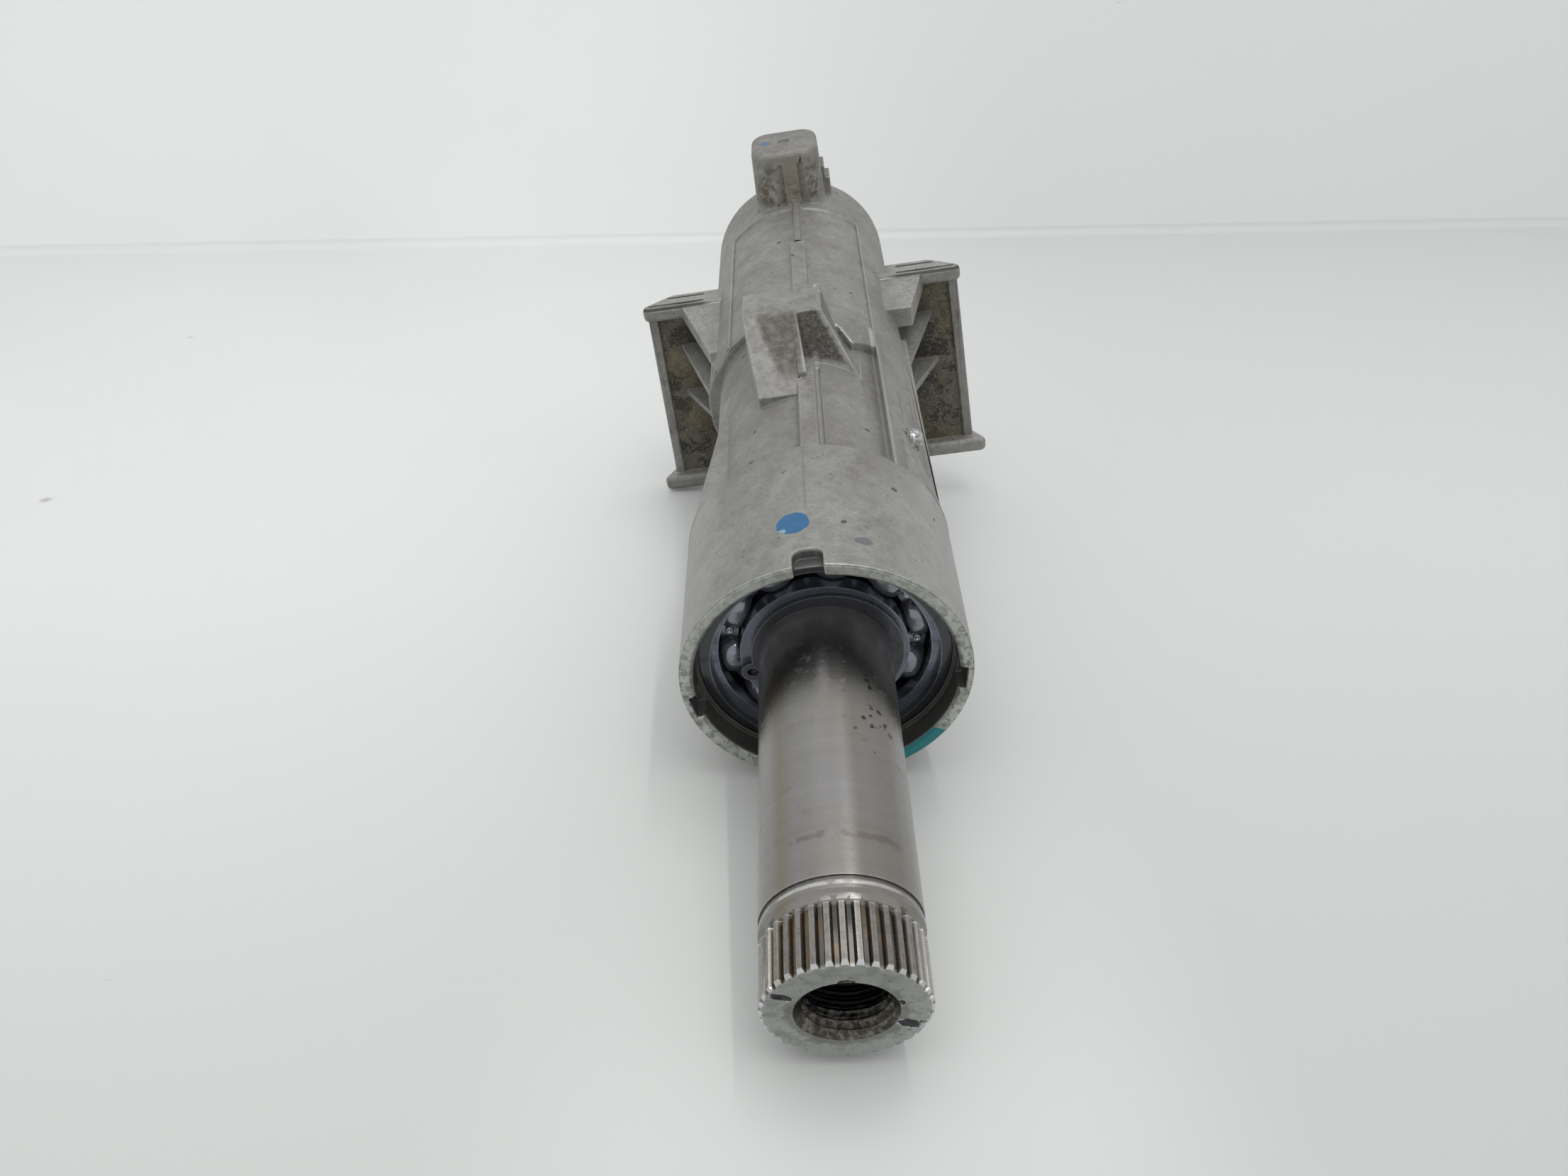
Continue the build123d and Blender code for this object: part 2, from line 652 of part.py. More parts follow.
def race_ring(bearing, seat_radius, shoulder, groove_centre):
    """Bearing ring between its seat and its shoulder, with the ball groove turned in it."""
    front = bearing.front
    rear = bearing.front + bearing.width
    chamfered = seat_radius + ring_chamfer if seat_radius < shoulder else seat_radius - ring_chamfer
    with BuildPart() as ring:
        with BuildSketch(Plane.XY):
            with BuildLine():
                Polyline((shoulder, front), (chamfered, front), (seat_radius, front + ring_chamfer),
                         (seat_radius, rear - ring_chamfer), (chamfered, rear), (shoulder, rear),
                         close=True)
            make_face()
            with Locations((groove_centre, bearing.ball_plane)):
                Circle(bearing.race_radius, mode=Mode.SUBTRACT)
        revolve(axis=Axis.Y)
        if bearing.shielded and seat_radius > shoulder:
            rebate_radius = shoulder + shield_rebate_width
            turned_ring(shoulder, rebate_radius, front, front + shield_rebate_depth, Mode.SUBTRACT)
            turned_ring(shoulder, rebate_radius, rear - shield_rebate_depth, rear, Mode.SUBTRACT)
    return ring


def ball_set(bearing):
    """All balls of a bearing, as separate solids."""
    with BuildPart() as balls:
        with Locations(*[(x, bearing.ball_plane, z) for x, z in bearing.around(0)]):
            Sphere(bearing.ball_radius)
    return balls


def cage_half(bearing, side):
    """Pressed ribbon half-cage with a pocket over each ball; side -1 faces the wheel."""
    pocket = bearing.ball_radius + pocket_clearance
    crown = bearing.ball_plane + side * (pocket + cage_thickness)
    ball_places = [(x, bearing.ball_plane, z) for x, z in bearing.around(0)]
    with BuildPart() as half:
        turned_ring(bearing.cage_inner, bearing.cage_outer, bearing.ball_plane,
                    bearing.ball_plane + side * cage_thickness)
        with Locations(*ball_places):
            Sphere(pocket + cage_thickness, rotation=(90, 0, 0))
        turned_ring(bearing.cage_inner, bearing.cage_outer, bearing.ball_plane, crown, Mode.INTERSECT)
        with Locations(*ball_places):
            Sphere(pocket, rotation=(90, 0, 0), mode=Mode.SUBTRACT)
        with BuildSketch(across(bearing.ball_plane)):
            with Locations(*bearing.around(0.5)):
                Circle(rivet_radius + rivet_clearance)
        extrude(amount=2 * cage_thickness, both=True, mode=Mode.SUBTRACT)
    return half


def cage_rivets(bearing):
    """Rivets that hold the two cage halves together midway between the balls."""
    head_edge = cage_thickness + rivet_head_height / 2
    head_top = cage_thickness + rivet_head_height
    with BuildPart() as rivet:
        turned_ring(0, rivet_radius, -cage_thickness, cage_thickness)
        for side in (-1, 1):
            turned([(0, side * cage_thickness), (rivet_head_radius, side * cage_thickness),
                    (rivet_head_radius, side * head_edge), (rivet_radius, side * head_top),
                    (0, side * head_top)])
    with BuildPart() as rivets:
        with Locations(*[(x, bearing.ball_plane, z) for x, z in bearing.around(0.5)]):
            add(rivet.part)
    return rivets


def shield(bearing, side):
    """Pressed shield that sits in the outer ring's rebate and clears the inner ring."""
    face = bearing.ball_plane + side * bearing.width / 2
    floor = face - side * shield_rebate_depth
    rim = bearing.outer_shoulder + shield_rebate_width - seat_clearance
    bend = rim - shield_rim
    inner = bearing.inner_shoulder + shield_running_gap
    with BuildPart() as disc:
        turned([(rim, floor), (bend, floor), (bend, floor + side * shield_dish),
                (inner, floor + side * shield_dish),
                (inner, floor + side * (shield_dish + shield_thickness)),
                (bend + shield_thickness, floor + side * (shield_dish + shield_thickness)),
                (bend + shield_thickness, floor + side * shield_thickness),
                (rim, floor + side * shield_thickness)])
    return disc


for bearing in (upper_bearing, lower_bearing):
    reach = bearing.ball_radius + race_clearance - bearing.race_radius
    save(race_ring(bearing, bearing.outer_radius, bearing.outer_shoulder,
                   bearing.pitch_radius + reach), f"{bearing.name}_bearing_outer_ring")
    save(race_ring(bearing, bearing.bore_radius, bearing.inner_shoulder,
                   bearing.pitch_radius - reach), f"{bearing.name}_bearing_inner_ring")
    save(ball_set(bearing), f"{bearing.name}_bearing_balls")
    save(cage_half(bearing, -1), f"{bearing.name}_cage_front")
    save(cage_half(bearing, 1), f"{bearing.name}_cage_rear")
    save(cage_rivets(bearing), f"{bearing.name}_cage_rivets")
save(shield(lower_bearing, -1), "lower_shield_front")
save(shield(lower_bearing, 1), "lower_shield_rear")


def cut_gap_and_holes(radius, hole_circle, hole_radius, turn):
    """Take the gap and the two plier holes out of the circlip sketch being drawn."""
    Polygon((0, 0), polar(2 * radius, turn - circlip_gap_half_angle),
            polar(2 * radius, turn + circlip_gap_half_angle), mode=Mode.SUBTRACT)
    with Locations(polar(hole_circle, turn - circlip_hole_half_angle),
                   polar(hole_circle, turn + circlip_hole_half_angle)):
        Circle(hole_radius, mode=Mode.SUBTRACT)


def shaft_circlip(bore_radius, front, turn):
    """Eccentric snap ring on the spindle; turn is the angle of its gap from the top."""
    inner = bore_radius - shaft_circlip_groove_depth + seat_clearance
    outer = inner + (shaft_circlip_width + shaft_circlip_thin_width) / 2
    shift = (shaft_circlip_width - shaft_circlip_thin_width) / 2
    hole_circle = inner + shaft_circlip_lug_radius
    with BuildPart() as clip:
        with BuildSketch(across(front)):
            with Locations(polar(shift, turn + 180)):
                Circle(outer)
            with Locations(polar(hole_circle, turn - circlip_hole_half_angle),
                           polar(hole_circle, turn + circlip_hole_half_angle)):
                Circle(shaft_circlip_lug_radius)
            Circle(inner, mode=Mode.SUBTRACT)
            cut_gap_and_holes(outer, hole_circle, shaft_circlip_hole_radius, turn)
        extrude(amount=-shaft_circlip_thickness)
    return clip


def bore_circlip(bore_radius, front, turn):
    """Eccentric snap ring in the casting; turn is the angle of its gap from the top."""
    outer = bore_radius + bore_circlip_groove_depth - seat_clearance
    inner = outer - (bore_circlip_width + bore_circlip_thin_width) / 2
    shift = (bore_circlip_width - bore_circlip_thin_width) / 2
    hole_circle = outer - bore_circlip_lug_radius
    with BuildPart() as clip:
        with BuildSketch(across(front)):
            Circle(outer)
            with Locations(polar(shift, turn)):
                Circle(inner, mode=Mode.SUBTRACT)
            with Locations(polar(hole_circle, turn - circlip_hole_half_angle),
                           polar(hole_circle, turn + circlip_hole_half_angle)):
                Circle(bore_circlip_lug_radius)
            cut_gap_and_holes(outer, hole_circle, bore_circlip_hole_radius, turn)
        extrude(amount=-bore_circlip_thickness)
    return clip


save(shaft_circlip(upper_bore_radius, upper_bearing_front - shaft_circlip_thickness,
                   upper_shaft_circlip_turn), "spindle_front_circlip")
save(shaft_circlip(lower_bore_radius, lower_bearing_rear, lower_shaft_circlip_turn),
     "spindle_rear_circlip")
save(bore_circlip(upper_outer_radius, upper_clip_front, bore_circlip_turn), "bore_front_circlip")
save(bore_circlip(lower_outer_radius, lower_clip_front, bore_circlip_turn), "bore_rear_circlip")

# Coned spring that pushes the lower outer ring forward, its outer edge on the ring
with BuildPart() as preload_disc_spring:
    spring_outer = lower_outer_radius - ring_chamfer - washer_clearance
    turned([(spring_outer, lower_bearing_rear), (spring_outer, lower_bearing_rear + spring_thickness),
            (spring_inner_radius, washer_front), (spring_inner_radius, washer_front - spring_thickness)])
save(preload_disc_spring, "preload_disc_spring")

# Flat washer between the spring and its circlip
with BuildPart() as preload_thrust_washer:
    turned_ring(washer_inner_radius, lower_outer_radius - washer_clearance, washer_front,
                lower_clip_front)
save(preload_thrust_washer, "preload_thrust_washer")
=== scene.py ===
# %% [markdown]
# # A cast steering-column jacket with its splined spindle
#
# The part is the upper end of a steering column. An aluminium die casting holds two
# ball bearings, and a ground steel spindle turns in them. The steering wheel sits on
# the splines at the near end. The CAD model gives every shape and every place, so this
# lesson is about finishes: cast skin, ground steel, black grease, worn edges and paint.

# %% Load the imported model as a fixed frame
import json
import math

import bmesh
import bpy
from mathutils import Matrix, Vector, noise
from mathutils.bvhtree import BVHTree


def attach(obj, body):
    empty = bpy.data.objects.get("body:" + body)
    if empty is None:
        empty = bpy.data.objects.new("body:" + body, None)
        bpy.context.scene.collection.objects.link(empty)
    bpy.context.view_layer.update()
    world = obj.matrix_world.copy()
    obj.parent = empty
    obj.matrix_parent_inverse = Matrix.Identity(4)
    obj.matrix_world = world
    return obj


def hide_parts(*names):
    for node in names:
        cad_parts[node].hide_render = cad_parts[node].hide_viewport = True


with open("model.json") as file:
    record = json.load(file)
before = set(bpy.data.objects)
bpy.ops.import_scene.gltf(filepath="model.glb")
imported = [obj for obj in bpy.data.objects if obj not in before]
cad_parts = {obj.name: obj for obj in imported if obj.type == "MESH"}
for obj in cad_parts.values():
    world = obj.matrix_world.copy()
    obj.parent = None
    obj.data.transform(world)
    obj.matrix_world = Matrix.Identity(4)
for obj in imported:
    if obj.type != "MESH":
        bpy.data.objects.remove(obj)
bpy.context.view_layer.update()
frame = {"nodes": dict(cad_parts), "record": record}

MM = 0.001
scene = bpy.context.scene

# %% [markdown]
# ## The camera
#
# The picture looks down along the column from close by, with a wide lens. The three
# unit vectors are the camera's own right, down and forward directions. A camera in
# Blender looks along its own -Z with +Y up, so the matrix takes right, minus down and
# minus forward as its columns.


# %% Place the camera
def add_object(name, data):
    """Link a new object with the given data to the scene."""
    thing = bpy.data.objects.new(name, data)
    scene.collection.objects.link(thing)
    return thing


camera_spot = Vector((10.881, -148.243, 145.408)) * MM
camera_right = Vector((0.98981, -0.01399, -0.14174))
camera_down = Vector((-0.11778, -0.63999, -0.75930))
camera_forward = Vector((-0.08009, 0.76826, -0.63511))

camera_data = bpy.data.cameras.new("camera")
camera_data.sensor_fit = "HORIZONTAL"
camera_data.sensor_width = 36.0
camera_data.lens = 26.063
camera_data.clip_start = 0.01
camera = add_object("camera", camera_data)
turn = Matrix((camera_right, -camera_down, -camera_forward)).transposed()
camera.matrix_world = Matrix.Translation(camera_spot) @ turn.to_4x4()
scene.camera = camera
scene.view_settings.view_transform = "Standard"
print("camera stands", round(camera_spot.length / MM), "mm from the barrel's mouth")

# %% [markdown]
# ## Short ways to write nodes
#
# A finish is a tree of small nodes. Written out in full, each node takes four or five
# lines. The helpers below write into the open tree, which is the one that was started
# last. They place a node, join its inputs and hand back its output, so that a finish
# reads almost like a sum. A colour is given as it is seen on a screen, from 0 to 255.


# %% Helpers that place and join nodes
def fill(socket, value):
    """Join an output to a socket, or set the socket's own value."""
    if isinstance(value, bpy.types.NodeSocket):
        tree.links.new(value, socket)
    else:
        socket.default_value = value


def set_inputs(node, **values):
    """Fill a node's inputs; an underscore in a name stands for a space."""
    for name, value in values.items():
        fill(node.inputs[name.replace("_", " ")], value)


def put(kind, inputs=(), **settings):
    """Place one node in the open tree; a short kind is that of a shader node."""
    node = tree.nodes.new(kind if "Node" in kind else "ShaderNode" + kind)
    for name, value in settings.items():
        setattr(node, name, value)
    for socket, value in inputs:
        fill(node.inputs[socket], value)
    return node


def reckon(operation, first, second=0.0, third=0.0, clamp=False):
    """One sum on numbers."""
    values = [(0, first), (1, second), (2, third)]
    return put("Math", values, operation=operation, use_clamp=clamp).outputs[0]


def reckon_vector(operation, first, second=(0.0, 0.0, 0.0)):
    """One sum on vectors; a length is a number."""
    outputs = put("VectorMath", [(0, first), (1, second)], operation=operation).outputs
    return outputs["Value" if operation == "LENGTH" else "Vector"]


def chain(operation, values):
    """Join any number of values by one operation."""
    result = values[0]
    for value in values[1:]:
        result = reckon(operation, result, value)
    return result


def times(*values):
    """Multiply any number of values."""
    return chain("MULTIPLY", values)


def most(*values):
    """The largest of any number of values."""
    return chain("MAXIMUM", values)


def total(*values):
    """Add any number of values."""
    return chain("ADD", values)


def opposite(share):
    """1 where the share is 0, and 0 where it is 1."""
    return reckon("SUBTRACT", 1.0, share)


def rise(value, low, high):
    """0 below low, 1 above high and a soft step between; low may be the larger."""
    turned_over = low > high
    low, high = sorted((low, high))
    ends = (1.0, 0.0) if turned_over else (0.0, 1.0)
    return put("MapRange", [(0, value), (1, low), (2, high), (3, ends[0]), (4, ends[1])],
               interpolation_type="SMOOTHSTEP").outputs[0]


def between(value, low, high, soft):
    """1 between low and high, with soft ends."""
    return times(rise(value, low - soft, low + soft), rise(value, high + soft, high - soft))


def tone(red, green, blue):
    """A colour as it is seen on a screen, 0 to 255, made linear for the shader."""
    def linear(value):
        value = value / 255
        return value / 12.92 if value <= 0.04045 else ((value + 0.055) / 1.055) ** 2.4
    return (linear(red), linear(green), linear(blue), 1.0)


def blend(share, first, second):
    """Go from the first colour to the second by a share from 0 to 1."""
    first, second = (tone(*colour) if isinstance(colour, tuple) else colour
                     for colour in (first, second))
    return put("Mix", [(0, share), (6, first), (7, second)], data_type="RGBA").outputs[2]


def blend_number(share, first, second):
    """Go from the first number to the second by a share from 0 to 1."""
    return put("Mix", [(0, share), (2, first), (3, second)], data_type="FLOAT").outputs[0]


def layered(base, *layers):
    """Lay colours over a base; a layer is a colour and the shares that multiply to its cover."""
    for colour, *shares in layers:
        base = blend(times(*shares), base, colour)
    return base


def adjusted(base, *layers):
    """Lay numbers over a base number in the same way."""
    for number, *shares in layers:
        base = blend_number(times(*shares), base, number)
    return base


def cloud(place, scale, detail=3.0, roughness=0.55, warp=0.0):
    """Cloudy noise over the surface, from 0 to 1; scale is in clouds per millimetre."""
    values = [("Vector", place), ("Scale", scale), ("Detail", detail),
              ("Roughness", roughness), ("Distortion", warp)]
    return put("TexNoise", values).outputs[0]


# %% [markdown]
# ## Effects that several finishes share
#
# Every metal here needs to know where it is on the part, where dirt collects and where
# handling has rubbed an edge bright. Each of these is a node group, made once. A group
# only hands out numbers and colours, and the shader itself stays in the material.


# %% Helpers that start, close and place a node group
def start_group(name, outputs, family="Shader", **inputs):
    """Open a new group; a socket's kind is named, or follows from the value it starts with."""
    global tree
    kinds = {float: "Float", int: "Int", tuple: "Vector"}
    tree = bpy.data.node_groups.new(name, family + "NodeTree")
    for in_out, sockets in (("INPUT", inputs), ("OUTPUT", outputs)):
        for label, value in sockets.items():
            kind = kinds.get(type(value), value)
            socket = tree.interface.new_socket(name=label.replace("_", " "), in_out=in_out,
                                               socket_type=f"NodeSocket{kind}")
            if kind is not value:
                socket.default_value = value
    return tree, put("NodeGroupInput").outputs, put("NodeGroupOutput").inputs


def close_group(given, **outputs):
    """Hand out the results of the open group."""
    for label, output in outputs.items():
        fill(given[label], output)
    print("group:", tree.name, "with", len(tree.nodes), "nodes")


def use_group(group, **inputs):
    """Place a group in the open tree; hands back its outputs, or its only output."""
    node = put("Group", node_tree=group)
    set_inputs(node, **inputs)
    return node.outputs if len(node.outputs) > 1 else node.outputs[0]


# %% [markdown]
# ### Where a point is on the column
#
# Turned parts are easiest to describe by radius and by place along the axis. The object
# coordinates are in metres with the column axis along Y, so this group gives them in
# millimetres, with the radius round the axis and the direction that the surface faces.

# %% Group: place on the column
place_on_column, taken, given = start_group(
    "place_on_column", {"Place": "Vector", "Across": "Float", "Along": "Float", "Up": "Float",
                        "Radius": "Float", "Facing": "Vector"})
spot = put("TexCoord").outputs
millimetres = put("VectorMath", [(0, spot["Object"]), ("Scale", 1 / MM)],
                  operation="SCALE").outputs[0]
across, along, up = put("SeparateXYZ", [(0, millimetres)]).outputs
flat = put("CombineXYZ", [(0, across), (2, up)]).outputs[0]
close_group(given, Place=millimetres, Across=across, Along=along, Up=up,
            Radius=reckon_vector("LENGTH", flat), Facing=spot["Normal"])

# %% [markdown]
# ### Outer edges and inner corners, for wear, painted highlight and painted shade
#
# Ambient occlusion asks how much of the space near a point is filled. Outside the metal
# it finds inner corners, which the finishes darken: painted shade, in a dirt colour on the
# casting. Turned to look inside the metal it finds outer edges, which the finishes brighten:
# partly rubbed wear and partly painted highlight. A little noise breaks both up, because
# wear is never even.

# %% Group: outer edges for wear and painted highlight, inner corners for painted shade
edges_and_corners, taken, given = start_group(
    "edges_and_corners", {"Rubbed": "Float", "Dirty": "Float"},
    Edge_Width=0.8, Corner_Width=5.0, Break_Up=0.5)
place = use_group(place_on_column)["Place"]
edge_reach, corner_reach = (times(taken[width], MM) for width in ("Edge Width", "Corner Width"))
inward = put("AmbientOcclusion", [("Distance", edge_reach)], samples=6, inside=True)
outward = put("AmbientOcclusion", [("Distance", corner_reach)], samples=6)
ragged = reckon("SUBTRACT", cloud(place, 0.9, 4.0, 0.65), 0.5)
ragged = times(ragged, taken["Break Up"])
edge, corner = (total(opposite(filled.outputs["AO"]), ragged) for filled in (inward, outward))
# Edges feeds rubbed wear and painted highlight; Occluded feeds dirt and painted shade.
close_group(given, Rubbed=rise(edge, 0.22, 0.5), Dirty=rise(corner, 0.25, 0.75))

# %% [markdown]
# ### Stains
#
# Old oil and road dirt dry in blotches that have a dense middle and a speckled border.
# Two layers of noise do that: a coarse one says where a blotch is, and a fine one eats
# at its border. Cover is the share of the surface that the stain takes.

# %% Group: stains
stains, taken, given = start_group("stains", {"Stain": "Float"}, Size=6.0, Cover=0.5, Seed=0.0)
place = use_group(place_on_column)["Place"]
shifted = reckon_vector("ADD", place, taken["Seed"])
coarse = cloud(shifted, reckon("DIVIDE", 1.0, taken["Size"]), 2.0, 0.5, 0.6)
fine = cloud(shifted, 1.6, 4.0, 0.7)
mixed = total(times(coarse, 0.68), times(fine, 0.32))
level = reckon("SUBTRACT", 0.78, times(taken["Cover"], 0.55))
depth = reckon("SUBTRACT", mixed, level)
close_group(given, Stain=reckon("MULTIPLY_ADD", depth, 9.0, 0.5, clamp=True))


def stain(size, cover, seed):
    """Blotches about a size across, in mm, that cover a share of the surface."""
    return use_group(stains, Size=size, Cover=cover, Seed=seed)


# %% [markdown]
# ### Specks and pits
#
# Small dark specks and pits are cells of a Voronoi pattern of which only a few are kept.
# The cell's own random colour decides which ones, and the distance to the cell's middle
# gives the round shape.

# %% Group: specks
specks, taken, given = start_group("specks", {"Speck": "Float"}, Spacing=1.5, Width=0.3, Share=0.1)
place = use_group(place_on_column)["Place"]
wobble = reckon_vector("ADD", place, cloud(place, 1.4, 2.0))
scale = reckon("DIVIDE", 1.0, taken["Spacing"])
cells = put("TexVoronoi", [("Vector", wobble), ("Scale", scale)]).outputs
lot = put("SeparateColor", [(0, cells["Color"])]).outputs
kept = reckon("LESS_THAN", lot[0], taken["Share"])
size = times(reckon("DIVIDE", taken["Width"], taken["Spacing"]), lot[1])
inside = reckon("SUBTRACT", size, cells["Distance"])
close_group(given, Speck=times(reckon("MULTIPLY", inside, 14.0, clamp=True), kept))


def speck(spacing, width, share):
    """Round specks in a share of the cells of a pattern; spacing and width are in mm."""
    return use_group(specks, Spacing=spacing, Width=width, Share=share)


# %% [markdown]
# ### Turning and grinding marks
#
# A turned shaft carries fine rings round it, and a faced end carries rings on the face.
# The same one-dimensional noise serves both: it is read along the axis on the outside
# and along the radius on a face. The surface's own direction tells the two apart.

# %% Group: turning marks
turning_marks, taken, given = start_group(
    "turning_marks", {"Ring": "Float", "Shade": "Float"}, Pitch=0.25)
where = use_group(place_on_column)
facing_y = put("SeparateXYZ", [(0, where["Facing"])]).outputs[1]
end_on = reckon("GREATER_THAN", reckon("ABSOLUTE", facing_y), 0.7)
course = blend_number(end_on, where["Along"], where["Radius"])
course = reckon("DIVIDE", course, taken["Pitch"])
ring = put("TexNoise", [("W", course), ("Scale", 1.0), ("Detail", 3.0), ("Roughness", 0.7)],
           noise_dimensions="1D")
broad = put("TexNoise", [("W", course), ("Scale", 0.07), ("Detail", 2.0)],
            noise_dimensions="1D")
close_group(given, Ring=ring.outputs[0], Shade=broad.outputs[0])

# %% [markdown]
# ### A dab of paint
#
# Inspectors mark a finished part with a dab of paint. The mask is the distance from a
# centre, squeezed to the dab's size and made ragged by noise. It also places a smudge
# and a patch of torn metal.

# %% Group: paint dab
paint_dab, taken, given = start_group(
    "paint_dab", {"Paint": "Float"},
    Centre=(0.0, 0.0, 0.0), Half_Size=(3.0, 3.0, 3.0), Ragged=0.15)
place = use_group(place_on_column)["Place"]
offset = reckon_vector("SUBTRACT", place, taken["Centre"])
reach = reckon_vector("LENGTH", reckon_vector("DIVIDE", offset, taken["Half Size"]))
ragged = reckon("SUBTRACT", cloud(place, 0.55, 4.0, 0.6), 0.5)
reach = reckon("MULTIPLY_ADD", ragged, taken["Ragged"], reach)
close_group(given, Paint=rise(reach, 1.02, 0.96))


def dab(centre, half_size, ragged):
    """A dab at a centre, both in mm; ragged says how uneven its border is."""
    return use_group(paint_dab, Centre=centre, Half_Size=half_size, Ragged=ragged)


# %% [markdown]
# ## Starting and closing a material
#
# Every finish below ends in one Principled shader. The first helper makes the material
# and sets the numbers that are the same all over the surface. The second joins what
# changes over the surface, with the relief as a bump.


# %% Helpers that start and close a material
def start_material(name, **constants):
    """Open the tree of a new material; constants go on the shader's own sockets."""
    global tree
    material = bpy.data.materials.new(name)
    material.use_nodes = True
    tree = material.node_tree
    tree.nodes.clear()
    shader = put("BsdfPrincipled")
    set_inputs(shader, **constants)
    set_inputs(put("OutputMaterial"), Surface=shader.outputs[0])
    return material, shader


def close_material(material, shader, relief, depth, strength, **inputs):
    """Join the shader's inputs and a relief, whose depth is in metres."""
    lift = put("Bump", [("Height", relief), ("Distance", depth), ("Strength", strength)])
    set_inputs(shader, Normal=lift.outputs[0], **inputs)
    print("material:", material.name, "with", len(tree.nodes), "nodes")


# %% [markdown]
# ## Cast aluminium
#
# The jacket is a die casting that has been handled for years. Its skin is a matt warm
# grey with faint clouds. One material holds all that lies on it, because it is one piece
# of metal: masks made from the place on the column, in millimetres, say what shows where.

# %% Cast aluminium: skin
cast_aluminium, shader = start_material("cast_aluminium", IOR=1.5)
place, across, along, up, radius, facing = use_group(place_on_column)
worn_and_highlit, corner_dirt_and_shade = use_group(edges_and_corners, Edge_Width=0.9, Corner_Width=6.0, Break_Up=0.55)
facing_x, facing_y, facing_z = put("SeparateXYZ", [(0, facing)]).outputs
sideways = reckon("ABSOLUTE", across)

skin_cloud = cloud(place, 0.09, 4.0, 0.6, 0.4)
mottle = cloud(place, 0.45, 5.0, 0.68, 0.3)
grain = cloud(place, 1.7, 3.0, 0.7)
medium = stain(size=4.0, cover=0.60, seed=37.0)
light = stain(size=7.0, cover=0.34, seed=71.0)
small = stain(size=1.6, cover=0.50, seed=19.0)
dots = speck(spacing=3.4, width=0.8, share=0.13)
grit = speck(spacing=1.1, width=0.42, share=0.12)
brown = (92, 82, 66)
soot = (52, 48, 43)
# Darker over the top of the tube and lug, from 30 to 99 mm along.
darker_top_band = times(between(along, 30.0, 99.0, 6.0), rise(up, 12.0, 20.0))
skin = layered(
    (152, 151, 147),
    ((136, 134, 130), rise(skin_cloud, 0.3, 0.7)),
    ((112, 109, 102), rise(mottle, 0.46, 0.66), 0.34),
    ((168, 167, 163), rise(mottle, 0.46, 0.30), 0.30),
    ((100, 97, 92), rise(grain, 0.5, 0.68), 0.3),
    ((108, 105, 99), light, 0.3),
    ((104, 101, 94), darker_top_band, 0.17))
print("skin:", len(tree.nodes), "nodes so far")

# %% [markdown]
# ### Dirt on the ramps and the boss
#
# The lug has a ramp on each side, and both hold old dirt. Their masks follow the ramps'
# slanted borders, which a little noise lets wander. The boss is dirty at its foot, and
# two black streaks run down its front beside a paler middle.

# %% Cast aluminium: ramps and boss
on_ears = times(rise(sideways, 23.0, 27.0), rise(along, 108.0, 122.0))
wander = reckon("MULTIPLY_ADD", cloud(place, 0.35, 4.0, 0.7), 5.0, -2.5)
ramp_place = total(along, wander)
ramp_side = total(across, times(wander, 0.6))
left_edge = reckon("MULTIPLY_ADD", ramp_place, 0.25, ramp_side)
left_ramp = times(rise(ramp_place, 66.0, 72.0), rise(ramp_place, 85.5, 82.5),
                  rise(left_edge, 11.6, 13.6), rise(across, 1.2, 0.2), rise(up, 22.1, 22.6))
right_face = times(rise(facing_y, -0.6, -0.8), between(along, 74.5, 84.0, 0.4),
                   between(across, 0.4, 14.0, 0.2), rise(up, 17.6, 18.0))
right_edge = reckon("MULTIPLY_ADD", up, 0.486, ramp_side)
right_foot = reckon("MULTIPLY_ADD", wander, 0.25, radius)
right_ramp = times(right_face, rise(right_edge, 21.0, 19.7), rise(right_foot, 22.7, 23.8))
on_ramps = most(left_ramp, right_ramp)
on_boss = times(rise(along, 163.0, 164.5), rise(up, 24.0, 27.0))
boss_front = times(on_boss, rise(facing_y, -0.4, -0.8))
boss_foot = times(on_boss, rise(up, 36.0, 28.0))
boss_middle = between(ramp_side, -2.4, 4.4, 1.2)
boss_streaks = most(between(ramp_side, -7.4, -3.4, 1.0), between(ramp_side, 5.2, 8.6, 1.0))
skin = layered(
    skin,
    ((100, 97, 88), on_ears, light, 0.45),
    ((108, 103, 93), on_ramps, 0.45),
    ((88, 83, 74), on_ramps, medium, 0.5),
    ((70, 66, 60), on_ramps, small, 0.5),
    ((70, 67, 60), right_ramp, 0.5),
    ((138, 134, 124), right_ramp, rise(grain, 0.56, 0.66), 0.5),
    ((40, 38, 34), right_ramp, rise(grain, 0.46, 0.38), 0.6),
    ((140, 134, 120), left_ramp, rise(grain, 0.56, 0.66), 0.3),
    ((158, 154, 144), boss_front, 0.5),
    ((84, 80, 72), on_boss, medium, 0.25),
    ((152, 142, 124), boss_front, boss_middle, rise(up, 37.5, 34.5), 0.45),
    (soot, boss_front, boss_streaks, rise(mottle, 0.4, 0.6), rise(up, 38.0, 33.0), 0.6),
    (brown, boss_foot, rise(mottle, 0.4, 0.6), 0.6))
print("with ramps and boss:", len(tree.nodes), "nodes so far")
